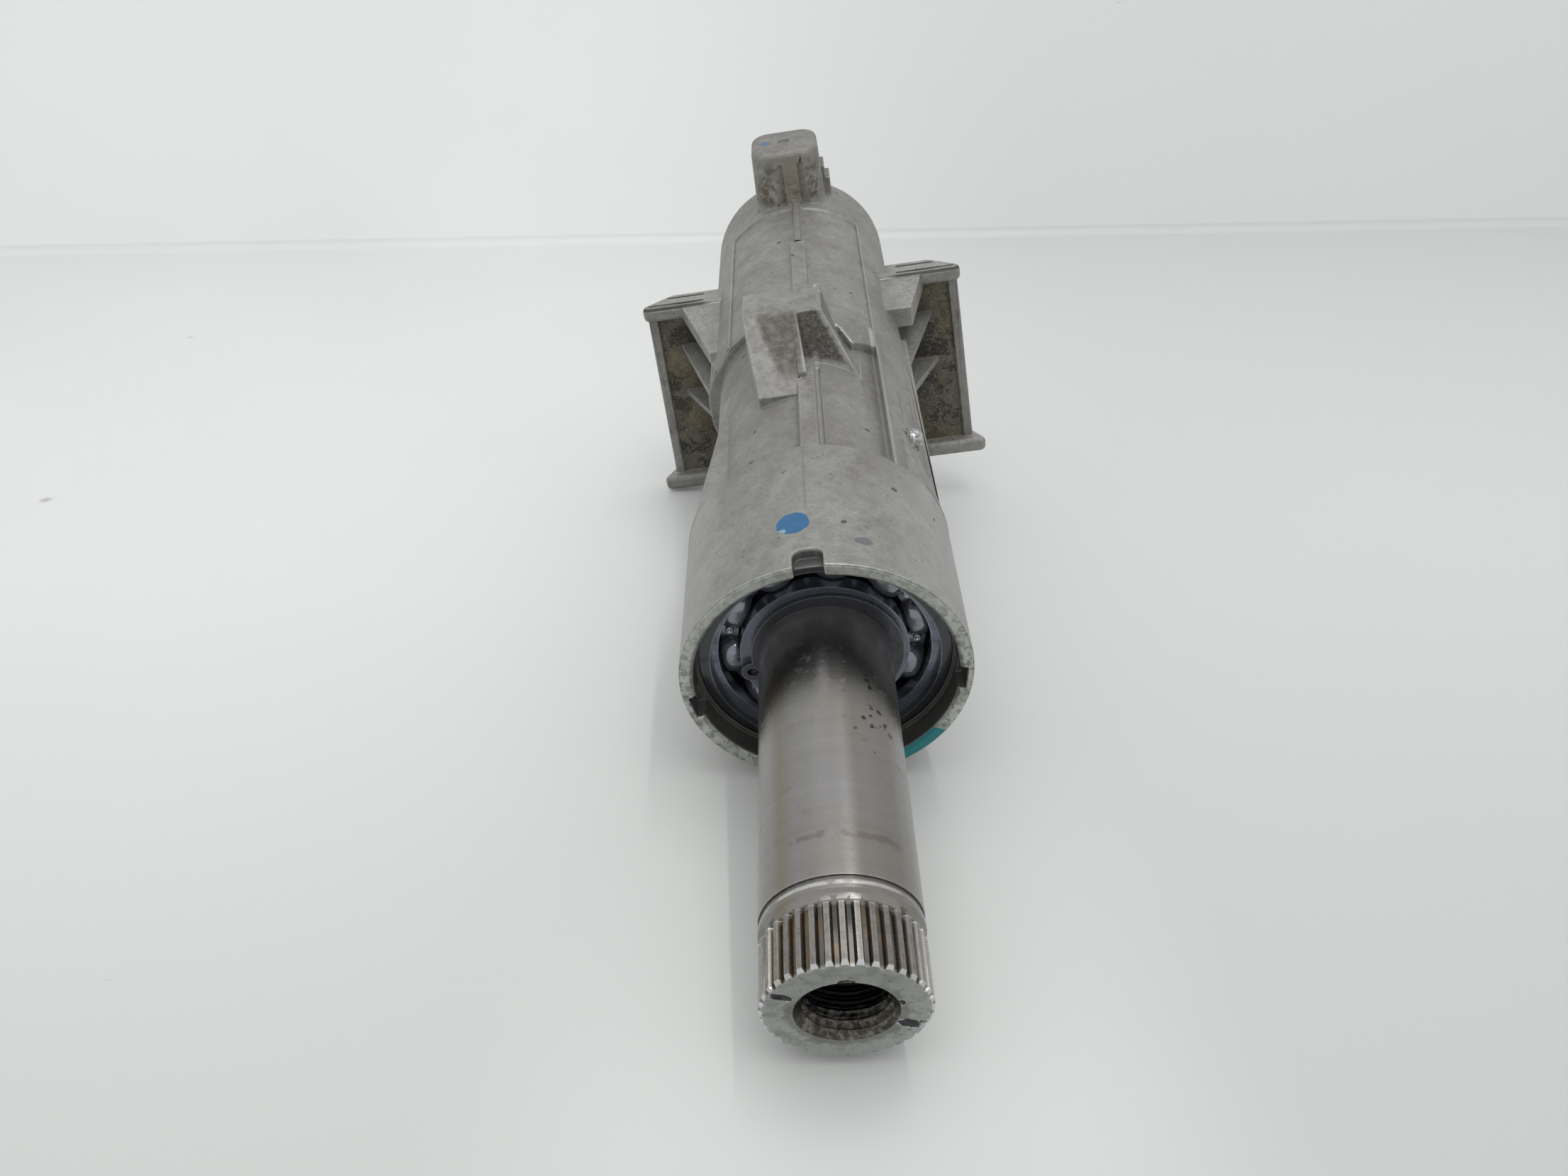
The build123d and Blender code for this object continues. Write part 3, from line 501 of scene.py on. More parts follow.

# %% [markdown]
# ### Dirt on the ears, specks, painted light and painted shade
#
# The webs of the ears, inside their raised lips, hold the thickest dirt: nearly black in
# patches and ochre in others, and they are darker towards the barrel, which is painted
# shade. The sides of the barrel and the low walls on the tube are made paler, which is
# painted light, and small specks lie over all of it.

# %% Cast aluminium: ears and specks
lip_line = reckon("MULTIPLY_ADD", up, 0.0514, sideways)
web = times(on_ears, rise(facing_y, -0.55, -0.85), rise(lip_line, 40.7, 39.7),
            rise(along, 136.8, 137.4), rise(up, 8.9, 8.3), rise(up, -42.3, -41.7))
web_dirt = cloud(place, 0.16, 5.0, 0.7, 0.5)
web_shade = cloud(place, 0.07, 3.0, 0.5)
# Painted light: the sides of the barrel are made paler.
barrel_side_painted_light = times(rise(sideways, 12.0, 24.0), rise(along, 40.0, 34.0), rise(up, -8.0, 2.0))
# Painted light: the low walls on the tube are made paler against their shade.
low_walls_painted_light = times(most(between(across, 3.1, 4.3, 0.2), between(across, 16.4, 17.8, 0.3)),
                  between(along, 37.0, 100.0, 1.0), rise(up, 8.0, 10.0), rise(radius, 24.6, 24.2))
skin = layered(
    skin,
    ((86, 82, 71), web, 0.92),
    ((42, 39, 34), web, rise(web_dirt, 0.46, 0.52), 0.85),
    ((126, 116, 90), web, rise(web_shade, 0.52, 0.38), 0.6),
    # The webs are darker towards the barrel, where the ears meet it: painted shade.
    ((44, 41, 36), web, rise(sideways, 38.0, 30.0), 0.55),
    ((146, 138, 116), web, rise(grain, 0.54, 0.64), 0.55),
    # Brown in the inner corners found by occlusion: dirt and painted shade.
    (brown, corner_dirt_and_shade, blend_number(on_ears, 0.12, 0.6)),
    ((196, 196, 193), barrel_side_painted_light, 0.35),
    ((214, 213, 209), low_walls_painted_light, blend_number(rise(sideways, 9.0, 11.0), 0.2, 0.5)),
    ((78, 75, 70), grit, 0.5),
    (soot, dots, 0.75))
print("with ears and specks:", len(tree.nodes), "nodes so far")

# %% [markdown]
# ### Rubbed and torn metal, painted highlights and painted shade
#
# Handling has rubbed the outer edges bright, and that brightening is partly painted
# highlight; the lug's top is lighter as painted highlight. The lug's right flank is darkened
# as painted shade, with torn bright metal along its edge and at one corner. The tops of the
# ears are lighter as painted light and scuffed in spots, the ears' groove is a dark line of
# painted shade, a faint parting line runs along the barrel, and a smudge lies beside the
# notch.

# %% Cast aluminium: rubbed, torn and scuffed places, painted highlight and painted shade
# The lug's top, made lighter: painted highlight.
lug_top_painted_highlight = times(between(along, 62.0, 97.0, 1.0), rise(up, 22.3, 23.0),
                  between(across, -12.0, 13.5, 0.4),
                  opposite(reckon("MULTIPLY", on_ramps, 1.0, clamp=True)))
torn_edge = times(between(reckon("MULTIPLY_ADD", across, 2.33, along), 112.6, 116.4, 0.9),
                  between(along, 85.5, 94.5, 0.6))
torn_corner = times(between(across, 4.9, 8.0, 0.5), between(along, 92.0, 97.5, 0.8),
                    rise(mottle, 0.5, 0.56))
torn = times(most(torn_edge, torn_corner), between(across, 4.5, 12.6, 0.5),
             rise(up, 19.5, 20.5), rise(grain, 0.42, 0.5))
torn_spot = dab(centre=(24.2, 58.6, 11.4), half_size=(2.6, 2.2, 2.6), ragged=0.7)
torn = most(torn, times(torn_spot, rise(grain, 0.46, 0.54)))
# The lug's right flank, made darker: painted shade.
flank_painted_shade = times(between(along, 79.0, 96.8, 0.6), between(across, 6.0, 12.0, 0.4),
              between(facing_x, 0.6, 1.2, 0.1), rise(up, 21.0, 22.0))
# Up-facing ear tops made lighter: painted light; the darker grain spots on them are scuffs.
ear_top = times(on_ears, rise(facing_z, 0.8, 0.95))
# A dark line along the ears' groove: painted shade.
ear_groove_painted_shade = times(on_ears, between(up, 12.1, 12.75, 0.12))
parting_line = times(between(across, -0.2, 0.35, 0.12), between(along, 16.0, 38.0, 1.0),
                     rise(up, 25.0, 26.0))
smudge = dab(centre=(9.8, 7.2, 25.1), half_size=(1.7, 1.1, 2.0), ragged=0.8)
skin = layered(
    skin,
    ((178, 177, 173), lug_top_painted_highlight, rise(mottle, 0.62, 0.42), 0.16),
    ((78, 76, 71), flank_painted_shade, 0.55),
    # Bright outer edges: rubbed wear and painted highlight.
    ((190, 190, 187), worn_and_highlit, 0.55),
    ((226, 226, 226), torn, 0.75),
    ((180, 179, 174), ear_top, 0.4),
    ((92, 89, 82), ear_top, rise(grain, 0.52, 0.6), 0.5),
    ((54, 52, 47), ear_groove_painted_shade, 0.8),
    ((100, 98, 93), parting_line, 0.3),
    ((78, 82, 92), smudge, 0.55))
print("with rubbed and torn metal:", len(tree.nodes), "nodes so far")

# %% [markdown]
# ### Rim, grease and paint
#
# The machined rim is bare and stained. Inside the barrel and the tube, and in the rim's
# notches, the metal is under dark grease. Four dabs of paint finish the colour. Then the
# same masks set how metallic, how rough and how uneven each place is.

# %% Cast aluminium: rim, grease, paint and relief
on_rim = times(rise(along, 0.5, 0.3), rise(radius, 24.1, 24.3))
rim_grime = stain(size=5.0, cover=0.46, seed=5.0)
rim_fleck = stain(size=1.2, cover=0.44, seed=3.0)
lower_rim = layered((190, 192, 186), ((122, 125, 116), rim_grime, 0.5),
                    ((80, 82, 76), rim_fleck, 0.6), (soot, grit, 0.6))
upper_rim = layered((184, 186, 180), ((110, 112, 106), rim_fleck, 0.4))
rim = blend(rise(up, -4.0, 24.0), lower_rim, upper_rim)

in_notch = times(between(along, 0.45, 5.5, 0.15), between(radius, 24.75, 26.35, 0.12))
in_barrel = times(rise(radius, 24.9, 24.6), rise(along, 0.35, 0.9), rise(along, 21.0, 20.0))
in_tube = times(rise(radius, 21.6, 21.3), rise(along, 18.0, 19.0))
grease = most(in_barrel, in_tube, in_notch)
grease_colour = layered((62, 61, 60), ((88, 86, 81), cloud(place, 0.3, 3.0)),
                        ((86, 86, 86), in_notch))

blue_dab = dab(centre=(-2.3, 12.6, 26.9), half_size=(3.05, 3.1, 4.0), ragged=0.3)
blue_chip = dab(centre=(-4.3, 10.7, 26.6), half_size=(0.8, 0.7, 4.0), ragged=0.9)
boss_dab = dab(centre=(-5.2, 174.0, 39.2), half_size=(1.3, 1.5, 2.0), ragged=0.5)
teal_dab = times(dab(centre=(16.9, 0.0, -20.0), half_size=(6.2, 2.0, 4.6), ragged=0.4),
                 rise(radius, 24.3, 24.6))
paint_blue = blend(cloud(place, 0.9, 3.0), (20, 76, 116), (34, 102, 148))
paint = most(blue_dab, times(boss_dab, 0.6), teal_dab)
skin = layered(
    skin,
    (rim, on_rim),
    (grease_colour, grease),
    (paint_blue, blue_dab),
    ((150, 170, 180), blue_chip, blue_dab, 0.7),
    (paint_blue, boss_dab, 0.8),
    ((18, 118, 122), teal_dab))

dull = most(web, times(corner_dirt_and_shade, 0.6), times(on_ramps, 0.7))
metal = adjusted(0.55, (0.85, most(worn_and_highlit, on_rim)), (0.95, torn), (0.1, dull),
                 (0.3, grease), (0.0, paint))
gloss = adjusted(0.48, (0.62, skin_cloud), (0.34, worn_and_highlit), (0.42, on_rim), (0.28, torn),
                 (0.74, most(web, on_ramps)), (0.34, grease), (0.3, paint))
smooth_places = most(times(on_rim, 0.8), times(grease, 0.7), paint)
relief = total(times(cloud(place, 1.3, 5.0, 0.65), opposite(smooth_places)),
               times(cloud(place, 0.22, 2.0), 1.2), times(paint, 0.6))
relief = reckon("SUBTRACT", relief, times(dots, 0.6))
relief = total(relief, times(torn, 0.8))
relief = reckon("SUBTRACT", relief, times(right_ramp, small, 0.9))
close_material(cast_aluminium, shader, relief, 0.22 * MM, 0.8,
               Base_Color=skin, Metallic=metal, Roughness=gloss)

# %% [markdown]
# ## Ground spindle steel
#
# The spindle is turned and ground, then left bare. It shows fine rings, a brown tint
# where oil has dried, and a broken row of faint marks where a hub has sat. Freckles of
# rust lie on its right side. A brown band and a darker band run along its top as painted
# reflections, and the ring groove has painted shade on one wall and a painted highlight
# on the other.

# %% Spindle steel: ground surface, marks, painted reflections, painted shade and highlight
spindle_steel, shader = start_material("spindle_steel", IOR=1.5)
place, across, along, up, radius, facing = use_group(place_on_column)
facing_y = put("SeparateXYZ", [(0, facing)]).outputs[1]
worn_and_highlit = use_group(edges_and_corners, Edge_Width=0.45, Corner_Width=1.2, Break_Up=0.35)["Rubbed"]
ring, shade = use_group(turning_marks, Pitch=0.16)
tint = rise(cloud(place, 0.06, 3.0, 0.5, 0.5), 0.42, 0.72)
# Two bands along the top, brown on the left and darker on the right: painted reflections.
painted_brown_reflection = times(between(across, -9.0, -6.4, 1.6), rise(up, 0.0, 3.0))
painted_dark_reflection = times(between(across, 3.6, 5.4, 1.0), rise(up, 0.0, 2.0))
blotch = stain(size=3.0, cover=0.26, seed=23.0)
round_place = reckon("MULTIPLY_ADD", cloud(place, 0.4, 3.0), 2.2, along)
hub_marks = times(between(round_place, -43.8, -42.5, 0.35),
                  stain(size=2.6, cover=0.58, seed=53.0),
                  between(across, -6.0, 10.0, 0.8), rise(up, 0.0, 2.0))
freckle_patch = times(between(along, -24.0, -10.0, 3.0), between(across, 4.0, 11.0, 1.5))
freckles = most(speck(spacing=2.6, width=0.42, share=0.12),
                times(speck(spacing=1.3, width=0.8, share=0.34), freckle_patch))
# The ring groove: darker upper wall, painted shade; lighter lower edge on the top, painted
# highlight.
groove_painted_shade = between(along, -52.0, -51.35, 0.1)
groove_painted_highlight = times(between(along, -52.95, -52.15, 0.12), rise(up, 3.0, 11.0),
                      rise(cloud(place, 0.3, 3.0), 0.34, 0.5))
steel = layered(
    (154, 152, 151),
    ((140, 138, 137), shade),
    ((120, 118, 116), rise(ring, 0.35, 0.75), 0.2),
    ((142, 130, 110), tint, 0.3),
    ((128, 116, 88), painted_brown_reflection, 0.45),
    ((108, 104, 100), painted_dark_reflection, 0.22),
    ((112, 102, 90), blotch, 0.22),
    ((92, 80, 78), hub_marks, 0.45),
    ((34, 30, 28), freckles, 0.85),
    ((74, 72, 70), groove_painted_shade, 0.5),
    ((224, 224, 222), groove_painted_highlight, 0.6))
print("ground surface and marks:", len(tree.nodes), "nodes so far")

# %% [markdown]
# ### Splines, end face and hole
#
# The spline grooves hold brown dirt, while their crests are bright. The end face is
# duller and scraped and lighter towards the bottom, which is painted light; its chips have
# dark floors, and the mouth of its hole is full of brown grime that turns black further in,
# with black oil and painted shade.

# %% Spindle steel: splines, end face and hole
on_splines = between(along, -64.9, -55.8, 0.2)
in_groove = times(on_splines, rise(radius, 12.2, 11.8))
oil_brown = layered((74, 72, 69), ((104, 88, 66), rise(cloud(place, 0.25, 3.0), 0.46, 0.66)))
crest_dirt = stain(size=1.2, cover=0.42, seed=29.0)
on_crest = times(on_splines, rise(radius, 12.1, 12.25))

end_on = times(rise(along, -65.1, -65.3), rise(facing_y, -0.8, -0.95))
end_cloud = stain(size=2.6, cover=0.42, seed=91.0)
end_fleck = stain(size=0.9, cover=0.30, seed=93.0)
# The end face is lighter towards the bottom: painted light.
end_grey = layered((152, 155, 152), ((174, 178, 174), rise(up, 10.0, -9.0)),
                   ((112, 115, 110), end_cloud, 0.5), ((84, 84, 80), end_fleck, 0.55))
chip_floor = times(rise(along, -65.36, -65.25), rise(along, -64.0, -64.3),
                   rise(radius, 11.3, 11.0), rise(radius, 7.55, 7.7))

in_hole = times(rise(radius, 7.72, 7.45), rise(along, 150.0, 140.0))
hole_grime = layered((96, 93, 83), ((48, 42, 31), stain(size=2.0, cover=0.62, seed=67.0)),
                     ((124, 122, 112), stain(size=0.9, cover=0.45, seed=83.0), 0.6))
ragged_edge = reckon("MULTIPLY_ADD", cloud(place, 0.42, 4.0, 0.72), 3.4, radius)
caked = reckon("MULTIPLY_ADD", cloud(place, 0.5, 4.0, 0.7), 7.0, along)
caked = times(rise(caked, -57.5, -59.5), rise(up, 0.5, -2.5))
# Near black deep in the hole: black oil and painted shade.
deep_hole_oil_and_shade = times(in_hole, rise(ragged_edge, 9.7, 9.2), opposite(caked))
grime_halo = times(end_on, rise(ragged_edge, 10.9, 9.6), rise(up, 7.0, 2.0))
steel = layered(
    steel,
    (oil_brown, in_groove, 0.75),
    ((112, 92, 58), in_groove, between(across, -10.5, -3.0, 1.5), 0.4),
    ((104, 98, 92), on_crest, crest_dirt, 0.4),
    (end_grey, end_on, rise(radius, 7.3, 7.7), 0.9),
    ((30, 31, 38), chip_floor, 0.9),
    (hole_grime, in_hole),
    ((15, 16, 20), deep_hole_oil_and_shade),
    ((72, 67, 56), grime_halo, 0.7))
print("with splines, end face and hole:", len(tree.nodes), "nodes so far")

# %% [markdown]
# ### Dark oil near the bearing
#
# Oil has crept out of the bearing along the spindle. Its border bends with the spindle's
# curve and is wavy. Last come the edges, bright from rubbing and from painted highlight,
# and the bright rim of the end face, which is a painted highlight.

# %% Spindle steel: oil, rubbed and highlighted edges, painted highlight and relief
bent = times(across, across, 0.085)
wavy = total(along, bent, times(cloud(place, 0.3, 3.0), 5.0))
oily = times(rise(wavy, -2.0, 12.0), rise(along, 192.0, 178.0))
# The bright rim of the end face's chamfer: painted highlight.
end_rim_painted_highlight = times(rise(along, -64.8, -64.95), rise(radius, 11.78, 11.86))
steel = layered(
    steel,
    ((104, 104, 107), oily, 0.65),
    # Bright outer edges: rubbed wear and painted highlight.
    ((216, 216, 214), worn_and_highlit, opposite(in_hole), 0.5),
    ((230, 230, 230), end_rim_painted_highlight, 0.6))
grimy = most(in_hole, grime_halo, times(chip_floor, 0.8))
metal = adjusted(1.0, (0.1, grimy), (0.6, oily), (0.9, deep_hole_oil_and_shade))
gloss = adjusted(0.20, (0.32, ring), (0.42, most(blotch, hub_marks)), (0.46, end_on),
                 (0.22, oily), (0.6, in_hole), (0.16, deep_hole_oil_and_shade))
relief = total(times(ring, blend_number(on_splines, 0.5, 0.08)),
               times(cloud(place, 0.35, 2.0), 0.8))
relief = reckon("SUBTRACT", relief, times(freckles, 0.5))
relief = total(relief, times(end_on, cloud(place, 1.6, 4.0), 2.2),
               times(in_hole, cloud(place, 1.1, 4.0), 9.0))
close_material(spindle_steel, shader, relief, 0.02 * MM, 0.7,
               Base_Color=steel, Metallic=metal, Roughness=gloss)


# %% [markdown]
# ## Greasy steels
#
# Rings, balls, cages and circlips all sit in old black grease. They differ in how much
# bare steel shines through it: balls and cages are polished and catch small bright
# lights, while circlips are phosphated and stay dull. One recipe makes all of them from
# a steel colour, a grease colour and three numbers.


# %% Recipe and materials: greasy steels
def greasy_steel(name, bare, grease, cover, roughness, ring_pitch):
    """Steel under grease; cover is the share of grease and roughness that of the steel."""
    material, shader = start_material(name, IOR=1.5, Metallic=0.72)
    place = use_group(place_on_column)["Place"]
    worn_and_highlit, corner_dirt_and_shade = use_group(edges_and_corners, Edge_Width=0.35, Corner_Width=1.6, Break_Up=0.2)
    ring, shade = use_group(turning_marks, Pitch=ring_pitch)
    film = stain(size=3.5, cover=cover, seed=len(name) * 3.0)
    # Inner corners darkened by occlusion are painted shade; bright outer edges are rubbed wear and
    # painted highlight.
    colour = layered(bare, (grease, shade, 0.4), (grease, film, 0.5),
                     ((30, 30, 33), corner_dirt_and_shade, 0.2), ((190, 194, 202), worn_and_highlit, 0.5))
    relief = total(times(cloud(place, 0.5, 2.0, 0.5), 0.7), times(ring, 0.15))
    close_material(material, shader, relief, 0.01 * MM, 0.5, Base_Color=colour,
                   Roughness=blend_number(film, roughness, roughness + 0.14))
    return material


finishes = {"cast_aluminium": cast_aluminium, "spindle_steel": spindle_steel}
for name, *recipe in (
        ("bearing_steel", (124, 129, 140), (84, 88, 98), 0.4, 0.18, 1.5),
        ("ball_steel", (186, 188, 194), (136, 140, 148), 0.3, 0.07, 9.0),
        ("pressed_steel", (146, 149, 156), (104, 107, 114), 0.35, 0.14, 9.0),
        ("rivet_steel", (206, 208, 214), (150, 154, 162), 0.3, 0.16, 9.0),
        ("phosphated_spring_steel", (84, 84, 88), (60, 60, 63), 0.35, 0.2, 9.0)):
    finishes[name] = greasy_steel(name, *recipe)

# %% [markdown]
# ## Dressing the CAD pieces
#
# The CAD pieces keep their shapes. Each one has one material slot, and the finish is
# chosen by the slot's name in the record, apart from the balls, which are brighter.

# %% Put the finishes on the CAD nodes
for entry in frame["record"]["subparts"]:
    finish = finishes[entry["material_slot"]]
    if entry["node"].endswith("_balls"):
        finish = finishes["ball_steel"]
    frame["nodes"][entry["node"]].material_slots[0].material = finish


# %% [markdown]
# ## Soft edges on the casting
#
# A mould rounds every edge. The CAD mesh is loose triangles, so its copy is merged, its
# flat areas are joined into whole faces, and a narrow bevel rounds each edge. Where edges
# meet in a sliver, a bevel can throw a point far out, so every point that left the CAD
# surface is drawn back to its nearest neighbour, and the points crowded at the foot of
# the right ramp are gathered in one. Weighted normals keep the flats flat in the light.


# %% Make the rounded casting
same_spot = 2e-6
nearly_flat = math.radians(1.0)


def merged_copy(node, name):
    """Copy a CAD node's mesh as closed, joined faces at the same place."""
    mesh = node.data.copy()
    work = bmesh.new()
    work.from_mesh(mesh)
    bmesh.ops.remove_doubles(work, verts=work.verts, dist=same_spot)
    bmesh.ops.dissolve_limit(work, angle_limit=nearly_flat, verts=work.verts, edges=work.edges)
    work.to_mesh(mesh)
    work.free()
    return add_object(name, mesh)


def add_modifier(piece, name, kind, **settings):
    """Give a piece a live modifier."""
    modifier = piece.modifiers.new(name, kind)
    for label, value in settings.items():
        setattr(modifier, label, value)
    return modifier


def settle(piece):
    """Replace a piece's live modifiers by their result."""
    graph = bpy.context.evaluated_depsgraph_get()
    result = bpy.data.meshes.new_from_object(piece.evaluated_get(graph))
    piece.modifiers.clear()
    piece.data = result


def shade_smooth(mesh):
    """Let the light run over the borders between a mesh's faces."""
    for polygon in mesh.polygons:
        polygon.use_smooth = True


def neighbours(point):
    """The points that edges join to a point."""
    return [edge.other_vert(point) for edge in point.link_edges]


rounding = 0.3 * MM
sharp_angle = math.radians(28)
stray_distance = 0.2 * MM
ramp_foot = Vector((13.0, 75.9, 18.0)) * MM
crowd_reach = 0.72 * MM

casting = merged_copy(frame["nodes"]["jacket_casting"], "jacket_casting_rounded")
shade_smooth(casting.data)
add_modifier(casting, "mould_rounding", "BEVEL", width=rounding, segments=2,
             limit_method="ANGLE", angle_limit=sharp_angle, use_clamp_overlap=False,
             miter_outer="MITER_ARC")
settle(casting)
cad_mesh = frame["nodes"]["jacket_casting"].data
cad_surface = BVHTree.FromPolygons([vertex.co for vertex in cad_mesh.vertices],
                                   [tuple(polygon.vertices) for polygon in cad_mesh.polygons])
work = bmesh.new()
work.from_mesh(casting.data)
strays = [point for point in work.verts
          if cad_surface.find_nearest(point.co)[3] > stray_distance]
print("points thrown off the CAD surface:", len(strays))
while strays:
    held = [point for point in strays if all(other in strays for other in neighbours(point))]
    for point in strays:
        if point not in held:
            settled = [other for other in neighbours(point) if other not in strays]
            point.co = min(settled, key=lambda other: (other.co - point.co).length).co
    if len(held) == len(strays):
        break
    strays = held
crowd = [point for point in work.verts if (point.co - ramp_foot).length < crowd_reach]
bmesh.ops.pointmerge(work, verts=crowd, merge_co=ramp_foot)
print("points gathered at the ramp's foot:", len(crowd))
bmesh.ops.remove_doubles(work, verts=work.verts, dist=same_spot)
bmesh.ops.dissolve_degenerate(work, edges=work.edges, dist=1e-6)
work.to_mesh(casting.data)
work.free()
add_modifier(casting, "even_light", "WEIGHTED_NORMAL", keep_sharp=True)
settle(casting)
casting.data.materials.clear()
casting.data.materials.append(cast_aluminium)
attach(casting, "jacket")
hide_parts("jacket_casting")
print("casting:", len(casting.data.polygons), "faces")

# %% [markdown]
# ## The spindle with its chipped end
#
# The end of the spindle has been knocked about: it has two large chips, nicks round its
# hole, and spline crests without a corner. Each chip is cut from a copy of the CAD
# spindle with a lumpy ball, as a Boolean, which leaves a torn hollow with a sharp edge.
# The bore is opened up as well, to make room for a real thread.


# %% Open the bore and cut the chips
def lumpy_ball(work, spot, size, turn, seed):
    """Add a ball, stretched to size and turned round the column, with a lumpy surface."""
    ball = bmesh.ops.create_icosphere(work, subdivisions=3, radius=1.0)["verts"]
    twist = Matrix.Rotation(math.radians(turn), 3, "Y")
    for vertex in ball:
        lump = 1 + 0.35 * noise.noise(vertex.co * 1.7 + Vector((seed, 0, 0)))
        stretched = Vector([value * reach for value, reach in zip(vertex.co * lump, size)])
        vertex.co = (Vector(spot) + twist @ stretched) * MM


end_face = -65.4
bore_radius = 6.2
mouth_radius = 7.5
bore_end = -38.0
spindle = merged_copy(frame["nodes"]["steering_spindle"], "steering_spindle_chipped")
for vertex in spindle.data.vertices:
    reach = math.hypot(vertex.co.x, vertex.co.z) / MM
    if abs(reach - bore_radius) < 0.1 and vertex.co.y < bore_end * MM:
        vertex.co.x *= mouth_radius / reach
        vertex.co.z *= mouth_radius / reach
chip_list = [((-8.9, end_face, 5.5), (2.3, 0.75, 0.75), 31.0, 3.0),
             ((8.5, end_face, -4.3), (1.9, 0.8, 1.0), 33.0, 8.0),
             ((10.3, end_face, -4.6), (0.9, 0.5, 0.8), 10.0, 12.0),
             ((0.7, end_face, 7.7), (1.3, 0.5, 0.55), 5.0, 15.0),
             ((7.3, end_face, 1.2), (0.8, 0.6, 0.9), 60.0, 21.0),
             ((-10.9, end_face, 5.9), (0.9, 0.5, 0.8), 20.0, 27.0),
             ((11.9, end_face + 0.6, -2.2), (0.6, 0.9, 0.5), 0.0, 33.0),
             ((-10.6, end_face + 0.5, -5.3), (0.6, 0.8, 0.5), 0.0, 39.0)]
work = bmesh.new()
for chip in chip_list:
    lumpy_ball(work, *chip)
cutter_mesh = bpy.data.meshes.new("chip_cutters")
work.to_mesh(cutter_mesh)
work.free()
cutter = add_object("chip_cutters", cutter_mesh)
add_modifier(spindle, "chips", "BOOLEAN", operation="DIFFERENCE", solver="EXACT",
             use_self=True, object=cutter)
settle(spindle)
bpy.data.objects.remove(cutter)
shade_smooth(spindle.data)
spindle.data.set_sharp_from_angle(angle=sharp_angle)
spindle.data.materials.clear()
spindle.data.materials.append(spindle_steel)
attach(spindle, "spindle")
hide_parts("steering_spindle")
print("spindle:", len(spindle.data.polygons), "faces,", len(chip_list), "chips")

# %% [markdown]
# ## Geometry Nodes in short
#
# A rivet row and a thread both follow a rule, so Geometry Nodes can make them. The
# helpers for sums serve here too. A tree is run once on a piece, with sizes of its own,
# and the result is kept as a plain mesh.


# %% Helpers for Geometry Nodes
def shape(kind, **inputs):
    """Place one node that works on geometry, and hand back its output."""
    node = put("GeometryNode" + kind)
    set_inputs(node, **inputs)
    return node.outputs[0]


def grow(piece, group, **values):
    """Run a tree on a piece with the given inputs and keep the plain mesh."""
    live = add_modifier(piece, group.name, "NODES", node_group=group)
    for item in group.interface.items_tree:
        label = item.name.replace(" ", "_")
        if item.in_out == "INPUT" and label in values:
            live[item.identifier] = values[label]
    settle(piece)


# %% [markdown]
# ## Rivets in the ball cages
#
# Each ball cage is two pressed ribbons, riveted together between the balls. A rivet's
# head has a small hollow from the riveting tool. One seed rivet is spun from its profile,
# and the tree sets a copy on each point of the pitch circle.

# %% Tree: rivets on a circle
rivet_circle, taken, given = start_group(
    "rivet_circle", {"Geometry": "Geometry"}, family="Geometry", Geometry="Geometry", Count=10,
    Circle_Radius=0.018, First_Angle=0.0, Along=0.0, Finish="Material")
circle = shape("MeshCircle", Vertices=taken["Count"], Radius=taken["Circle Radius"])
quarter = reckon("SUBTRACT", taken["First Angle"], math.pi / 2)
tilt = put("CombineXYZ", [(0, math.pi / 2), (1, quarter)])
shift = put("CombineXYZ", [(1, taken["Along"])])
turned = shape("Transform", Geometry=circle, Translation=shift.outputs[0],
               Rotation=tilt.outputs[0])
copies = shape("InstanceOnPoints", Points=turned, Instance=taken["Geometry"])
real = shape("RealizeInstances", Geometry=copies)
close_group(given, Geometry=shape("SetMaterial", Geometry=real, Material=taken["Finish"]))


# %% Make the rivets
def seed_rivet(name):
    """One rivet on the origin with its shank along Y and a hollow in each head."""
    half = [(0.50, 0.0), (0.50, 0.66), (0.84, 0.70), (0.85, 0.86), (0.76, 1.05), (0.60, 1.12),
            (0.44, 1.07), (0.26, 0.94), (0.0, 0.90)]
    course = [(radius, -along) for radius, along in reversed(half)] + half[1:]
    work = bmesh.new()
    points = [work.verts.new((radius * MM, along * MM, 0)) for radius, along in course]
    edges = [work.edges.new(pair) for pair in zip(points, points[1:])]
    bmesh.ops.spin(work, geom=points + edges, cent=(0, 0, 0), axis=(0, 1, 0),
                   angle=2 * math.pi, steps=20, use_merge=True)
    bmesh.ops.remove_doubles(work, verts=work.verts, dist=1e-6)
    bmesh.ops.recalc_face_normals(work, faces=work.faces)
    for face in work.faces:
        face.smooth = True
    mesh = bpy.data.meshes.new(name)
    work.to_mesh(mesh)
    work.free()
    return add_object(name, mesh)


for side, count, circle_radius, first_angle, along in (("upper", 10, 18.0, 29.8, 13.5),
                                                       ("lower", 9, 15.5, 20.0, 171.5)):
    rivets = seed_rivet(f"{side}_cage_rivets_hollowed")
    grow(rivets, rivet_circle, Count=count, Circle_Radius=circle_radius * MM,
         First_Angle=math.radians(first_angle), Along=along * MM,
         Finish=finishes["rivet_steel"])
    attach(rivets, f"{side}_ball_train")
    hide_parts(f"{side}_cage_rivets")
    print(rivets.name, len(rivets.data.polygons), "faces")

# %% [markdown]
# ## The thread in the spindle's end
#
# A thread is a wave wrapped round a cylinder: the radius rises and falls once for every
# pitch along the axis, and the wave moves on by one pitch in each turn. The tree bends a
# flat grid into a sleeve and sets each point's radius by that rule. The cone at the mouth
# cuts the first turns away, and the last rows close the sleeve round its outside.

